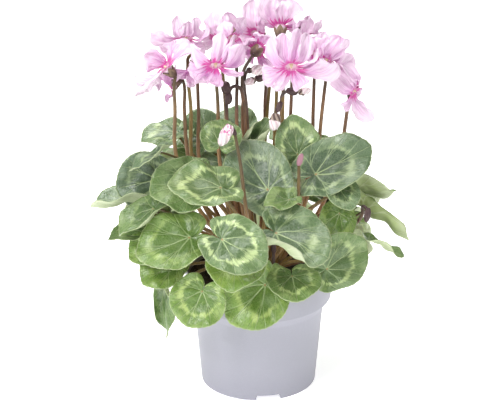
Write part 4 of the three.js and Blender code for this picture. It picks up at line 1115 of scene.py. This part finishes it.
def grow_anthers(bloom):
    """Five anthers that stand together as a small cone, with the longer, thinner style between them."""
    middle, axis, first, second = bloom_axes(bloom)
    stamens = []
    for k in range(ANTHERS + 1):
        lean = ray_at(2 * math.pi * k / ANTHERS, first, second)
        out, size = (1.0, 0.85) if k < ANTHERS else (0.0, 0.35)
        path = [middle + axis * (ANTHER_FOOT + s) + lean * (out * (1.5 - 0.2 * s))
                for s in (*ANTHER_STEPS, 5.0 + k % 2)]
        stamens.append(tube("anther", path, 6, lambda part, turn: size * (1 - 0.6 * part),
                            anther.material, {}))
    return stamens


# %% [markdown]
# Petals and bowl are joined while they are still sheets, and Solidify gives them all their thickness at
# once. Blooms that touch in the solids share a `node`, and become one piece here too.

# %% Grow the blooms
flowers = {}
for k, bloom in enumerate(BLOOMS):
    tips = petal_tips(bloom)
    petals = [grow_petal(bloom, tips, i, (k * 0.37 + i * 0.23) % 1) for i in range(len(tips))]
    bowl = spun("throat", bloom, 30, 10, throat_profile, throat.material)
    node = "bloom_" + bloom.get("node", bloom["name"])
    flower = join("sheets", [*petals, bowl])
    apply_modifier(flower, "SOLIDIFY", thickness=PETAL_THICK * MM, offset=0)
    flowers.setdefault(node, []).extend([flower, *grow_anthers(bloom)])
for node, parts in flowers.items():
    hand_over(join(node.replace("bloom", "flower"), parts), node)

# %% [markdown]
# ## Flower stalks, calyces and buds
# Behind each bloom the stalk ends in a calyx with five brown-green lobes. Young buds hang their heads,
# closed and dark. Older ones show their petals, rolled up like an umbrella, so their skin is a spindle
# with five ridges that wind round it.

# %% The flower stalks' ways
SCAPES = [
    dict(bloom="left", by=[(-66, -8, 197), (-67, -12, 244), (-67, -14, 266)], red=0.55),
    dict(bloom="left_low", by=[(-56, 0, 190), (-60, 2, 236), (-60, 6, 256)], red=0.7),
    dict(bloom="nodding", by=[(-54, 8, 187), (-55, 8, 236), (-57, 6, 272), (-55, 2, 282)], red=0),
    dict(bloom="left_high", by=[(-48, 12, 185), (-49, 14, 233), (-51, 20, 270)], red=0.8),
    dict(bloom="front_left", by=[(-32, 4, 193), (-33, -2, 243), (-34, -18, 272)], red=0.6),
    dict(bloom="middle_high", by=[(-25, 18, 183), (-27, 20, 231), (-30, 28, 268)], red=0.3),
    dict(bloom="middle", by=[(-17, 1, 191), (-18, 3, 237), (-18, 4, 272)], red=0.9),
    dict(bloom="turned", by=[(-10, 6, 187), (-11, 4, 235), (-13, -2, 268)], red=0.85),
    dict(bloom="crown_left", by=[(4, 20, 183), (7, 22, 230), (9, 26, 271)], red=0.1),
    dict(bloom="crown", by=[(12, 14, 189), (14, 14, 238), (15, 6, 273)], red=0.1),
    dict(bloom="front_right", by=[(19, -2, 193), (19, -4, 242), (20, -14, 268)], red=0.35),
    dict(bloom="crown_right", by=[(24, 10, 187), (26, 18, 232), (28, 34, 266)], red=0.8),
    dict(bloom="right_cup", by=[(42, 6, 187), (44, 12, 234), (45, 20, 262)], red=0.8),
    dict(bloom="right", by=[(46, 0, 190), (51, 4, 236), (54, 8, 262)], red=0.7),
    dict(bloom="right_low", by=[(64, 4, 188), (71, 0, 237), (72, -4, 249)], red=0.85),
    dict(by=[(-24, 6, 190), (-26, 2, 238), (-26, -4, 254)], bud=(-27, -4, 263), round=3.6, red=0.95),
    dict(by=[(-12, 11, 187), (-13, 8, 235), (-13, 1, 248), (-16, -2, 257), (-21, -4, 258),
         (-24.5, -4, 252)], bud=(-24.5, -4, 243), round=3, red=0.95),
    dict(by=[(-8, 10, 186), (-10, 8, 235), (-11, 0, 267), (-9, -2, 271)], bud=(-6, -4, 272),
         round=2.4, red=0.95),
    dict(by=[(5, 24, 187), (5, 22, 234), (5, 10, 260), (3, 4, 264)], bud=(-3, 0, 263), round=3.4, red=0.95),
    dict(by=[(20, 6, 191), (18, 2, 241), (19, -10, 254), (23, -16, 259)], bud=(31, -19, 258),
         round=2.8, red=0.95),
    dict(by=[(17, 8, 187), (19, 2, 240), (17, -12, 247)], bud=(14, -16, 240.5), round=2.2, red=0.95),
    dict(by=[(-9, -50, 160), (-12, -56, 188), (-15, -46, 210), (-19, -38, 230)],
         bud=(-21, -36, 235), round=1.8, red=0.55),
    dict(by=[(31, -44, 180), (31.5, -42, 197), (31.5, -40, 206)], bud=(34, -40, 215), round=2.2, red=0.4,
         pink=0.8),
    dict(by=[(60, -10, 128), (79, -22, 148), (83, -33, 161), (83.5, -38, 169), (87, -41, 167)],
         bud=(85.5, -43, 157), round=2.6, red=0.95),
    dict(by=[(11, -28, 112), (12, -30, 126)], bud=(12, -34, 136), round=2, red=0.95),
]

# %% [markdown]
# Sepals are brown green and paler at their tips, and a young bud is dark with lighter streaks. An opening
# bud is white, with painted pink shade in the grooves between its winding ridges, a brown hood at its
# foot that is painted darker in those grooves and, on one of them, magenta freckles. The bands of
# painted shade are a sine of how far round and how far along a point is, in step with the ridges.

# %% Calyx and dark bud finishes
sepal = Finish("brown_green_sepal", Roughness=0.6)
mottle = sepal.speckle(sepal.place(), 700.0, 3.0)
browned = sepal.ramp(sepal.mark("along") + 0.6 * (mottle - 0.5), 0.2, 0.9)
colour = sepal.mix(browned, shade(84, 62, 52), shade(140, 120, 96))
sepal.wear(colour, 0.5 + 0.2 * mottle, mottle, 0.0003)
dark_bud = Finish("dark_bud", Roughness=0.5)
along, turn, pink = dark_bud.marks("along turn pink")
mottle = dark_bud.speckle(dark_bud.place(), 500.0, 3.0)
streaks = dark_bud.speckle(dark_bud.point(turn * 2.5, along), 1.0, 2.0)
colour = dark_bud.mix(mottle, shade(46, 32, 36), shade(92, 66, 66))
colour = dark_bud.mix(0.6 * dark_bud.ramp(streaks, 0.55, 0.7), colour, shade(136, 120, 108))
colour = dark_bud.mix(0.6 * dark_bud.ramp(along, 0.9, 1.0), colour, shade(180, 146, 150))
showing = dark_bud.mix(streaks, shade(168, 112, 130), shade(206, 158, 172))
dark_bud.wear(dark_bud.mix(pink, colour, showing), 0.45 + 0.2 * mottle, mottle, 0.0003)

# %% The finish of an opening bud
RIDGES, BUD_TWIST = 5, 2.6
rolled_bud = Finish("rolled_petals", Roughness=0.6)
along, turn, hooded, freckled = rolled_bud.marks("along turn hood freckled")
bands = rolled_bud.maths("SINE", RIDGES * (turn + BUD_TWIST * along))
clouds = rolled_bud.speckle(rolled_bud.point(turn, along * 3.0), 1.0, 3.0)
# Painted shade: pink in the grooves between the winding ridges.
shadow = rolled_bud.ramp(bands, -0.2, -1.0) * 0.6
colour = rolled_bud.mix(shadow, shade(250, 240, 240), shade(222, 176, 190))
freckles = rolled_bud.speckle(rolled_bud.point(turn * 2.2, along * 7.0), 1.0, 1.0)
spots = rolled_bud.ramp(freckles, 0.52, 0.6) * rolled_bud.ramp(along, 0.6, 0.3) * freckled
colour = rolled_bud.mix(spots, colour, shade(206, 96, 160))
# The hood is painted darker in the same grooves, as painted shade.
hood = rolled_bud.mix(rolled_bud.ramp(bands, -0.6, 0.6), shade(96, 80, 74), shade(172, 154, 140))
past_hood = along - hooded + 0.3 * (clouds - 0.5)
colour = rolled_bud.mix(rolled_bud.ramp(past_hood, 0.04, -0.04), colour, hood)
rolled_bud.wear(colour, 0.5 + 0.2 * clouds, bands, 0.0003)

# %% [markdown]
# A bud is a tube along a straight path, whose radius swells, shrinks and has a ridge at every fifth of
# the turn. A calyx could be five sepals. They touch all round, so one skin with a lobed rim does as well.

# %% A bud and a calyx
CALYX_FOOT, CALYX_LOBES, CALYX_THICK = -11.4, 5, 0.4
CALYX_FORM = [(CALYX_FOOT, 1.2), (-10.2, 2.4), (-8.6, 3.2), (-7.0, 3.6), (-5.0, 4.2), (-3.2, 4.8),
              (-1.0, 5.3)]


def between(stops, value):
    """The number at a value on a broken line of (value, number) stops."""
    for (low, first), (high, second) in zip(stops, stops[1:]):
        if value <= high:
            return first + (second - first) * max(0.0, (value - low) / (high - low))
    return stops[-1][1]


def calyx_profile(u, v):
    """Five pointed lobes that hold the back of the bloom."""
    lobe = abs(((u * CALYX_LOBES) % 1) * 2 - 1)
    top = -6.0 + 5.0 * lobe ** 0.6
    height = CALYX_FOOT + (top - CALYX_FOOT) * v
    return between(CALYX_FORM, height) + 0.3 * (1 - lobe) * v, height


def spindle(name, start, end, size, twist, ridge, material, numbers):
    """A closed bud from its calyx to its tip, with ridges that wind round it."""
    path = [start.lerp(end, k / 16) for k in range(17)]

    def radius(part, turn):
        body = math.sqrt(max(0.0, 1 - abs(2 * part - 0.9) ** 2.2 / 1.15))
        return size * body * (1 + ridge * math.sin(RIDGES * (turn + twist * part)))

    return tube(name, path, 25, radius, material, numbers)


# %% Grow the flower stalks
BLOOM_AT = {bloom["name"]: bloom for bloom in BLOOMS}
FOOT_RINGS, STALK_END = (3, 7, 11), 11.3
stalks, calyces, dark_buds = [], [], []
for i, row in enumerate(SCAPES):
    by = [Vector(point) for point in row["by"]]
    foot = root_towards(by[0], FOOT_RINGS[i % 3])
    knee = foot.lerp(Vector((by[0].x, by[0].y, foot.z)), 0.6)
    knee.z = foot.z + 0.42 * (by[0].z - foot.z)
    route = [foot, knee, *by]
    if "bloom" in row:
        bloom = BLOOM_AT[row["bloom"]]
        middle, axis, *_ = bloom_axes(bloom)
        route.append(middle - axis * STALK_END)
        calyces.append(spun("calyx", bloom, 40, 10, calyx_profile, sepal.material))
    else:
        tip = Vector(row["bud"])
        base, numbers = by[-1].lerp(tip, -0.15), {"pink": row.get("pink", 0)}
        dark_buds.append(spindle("dark_bud", base, tip, row["round"] * 1.05, 1.2, 0.06,
                                 dark_bud.material, numbers))
    path = smooth_path(route, 10)
    stalks.append(tube("flower_stalk", path, 10, lambda part, turn: 1.9 - 0.65 * part, stem.material,
                       {"red": row["red"]}))
hand_over(join("flower_stalks", stalks), "tuber_and_stalks")
calyces = join("calyces", calyces)
apply_modifier(calyces, "SOLIDIFY", thickness=CALYX_THICK * MM, offset=0)
hand_over(calyces, "tuber_and_stalks")
hand_over(join("dark_buds", dark_buds), "tuber_and_stalks")

# %% [markdown]
# Five buds are about to open. Each grows from the tip of a dark bud, which is its calyx, and stands for a
# solid of its own.

# %% The opening buds
BUDS = [
    dict(start=(-5.5, -4.2, 272), end=(4, -9, 274), size=4.2, hood=0.15, freckled=0),
    dict(start=(-3.5, -0.4, 263), end=(-11, -8, 262), size=3.2, hood=0.35, freckled=0),
    dict(start=(31.5, -19.1, 258.2), end=(41, -22, 262), size=3.1, hood=0.4, freckled=0),
    dict(start=(13.8, -16.3, 240), end=(11, -20, 226.5), size=4.2, hood=0.4, freckled=0),
    dict(start=(-22.4, -38, 238), end=(-31, -43, 222), size=4.4, hood=-0.2, freckled=1),
]
for i, bud in enumerate(BUDS, 1):
    numbers = {"hood": bud["hood"], "freckled": bud["freckled"]}
    skin = spindle(f"rolled_bud_{i}", Vector(bud["start"]), Vector(bud["end"]), bud["size"], BUD_TWIST,
                   0.1, rolled_bud.material, numbers)
    hand_over(skin, f"bud_{i}")
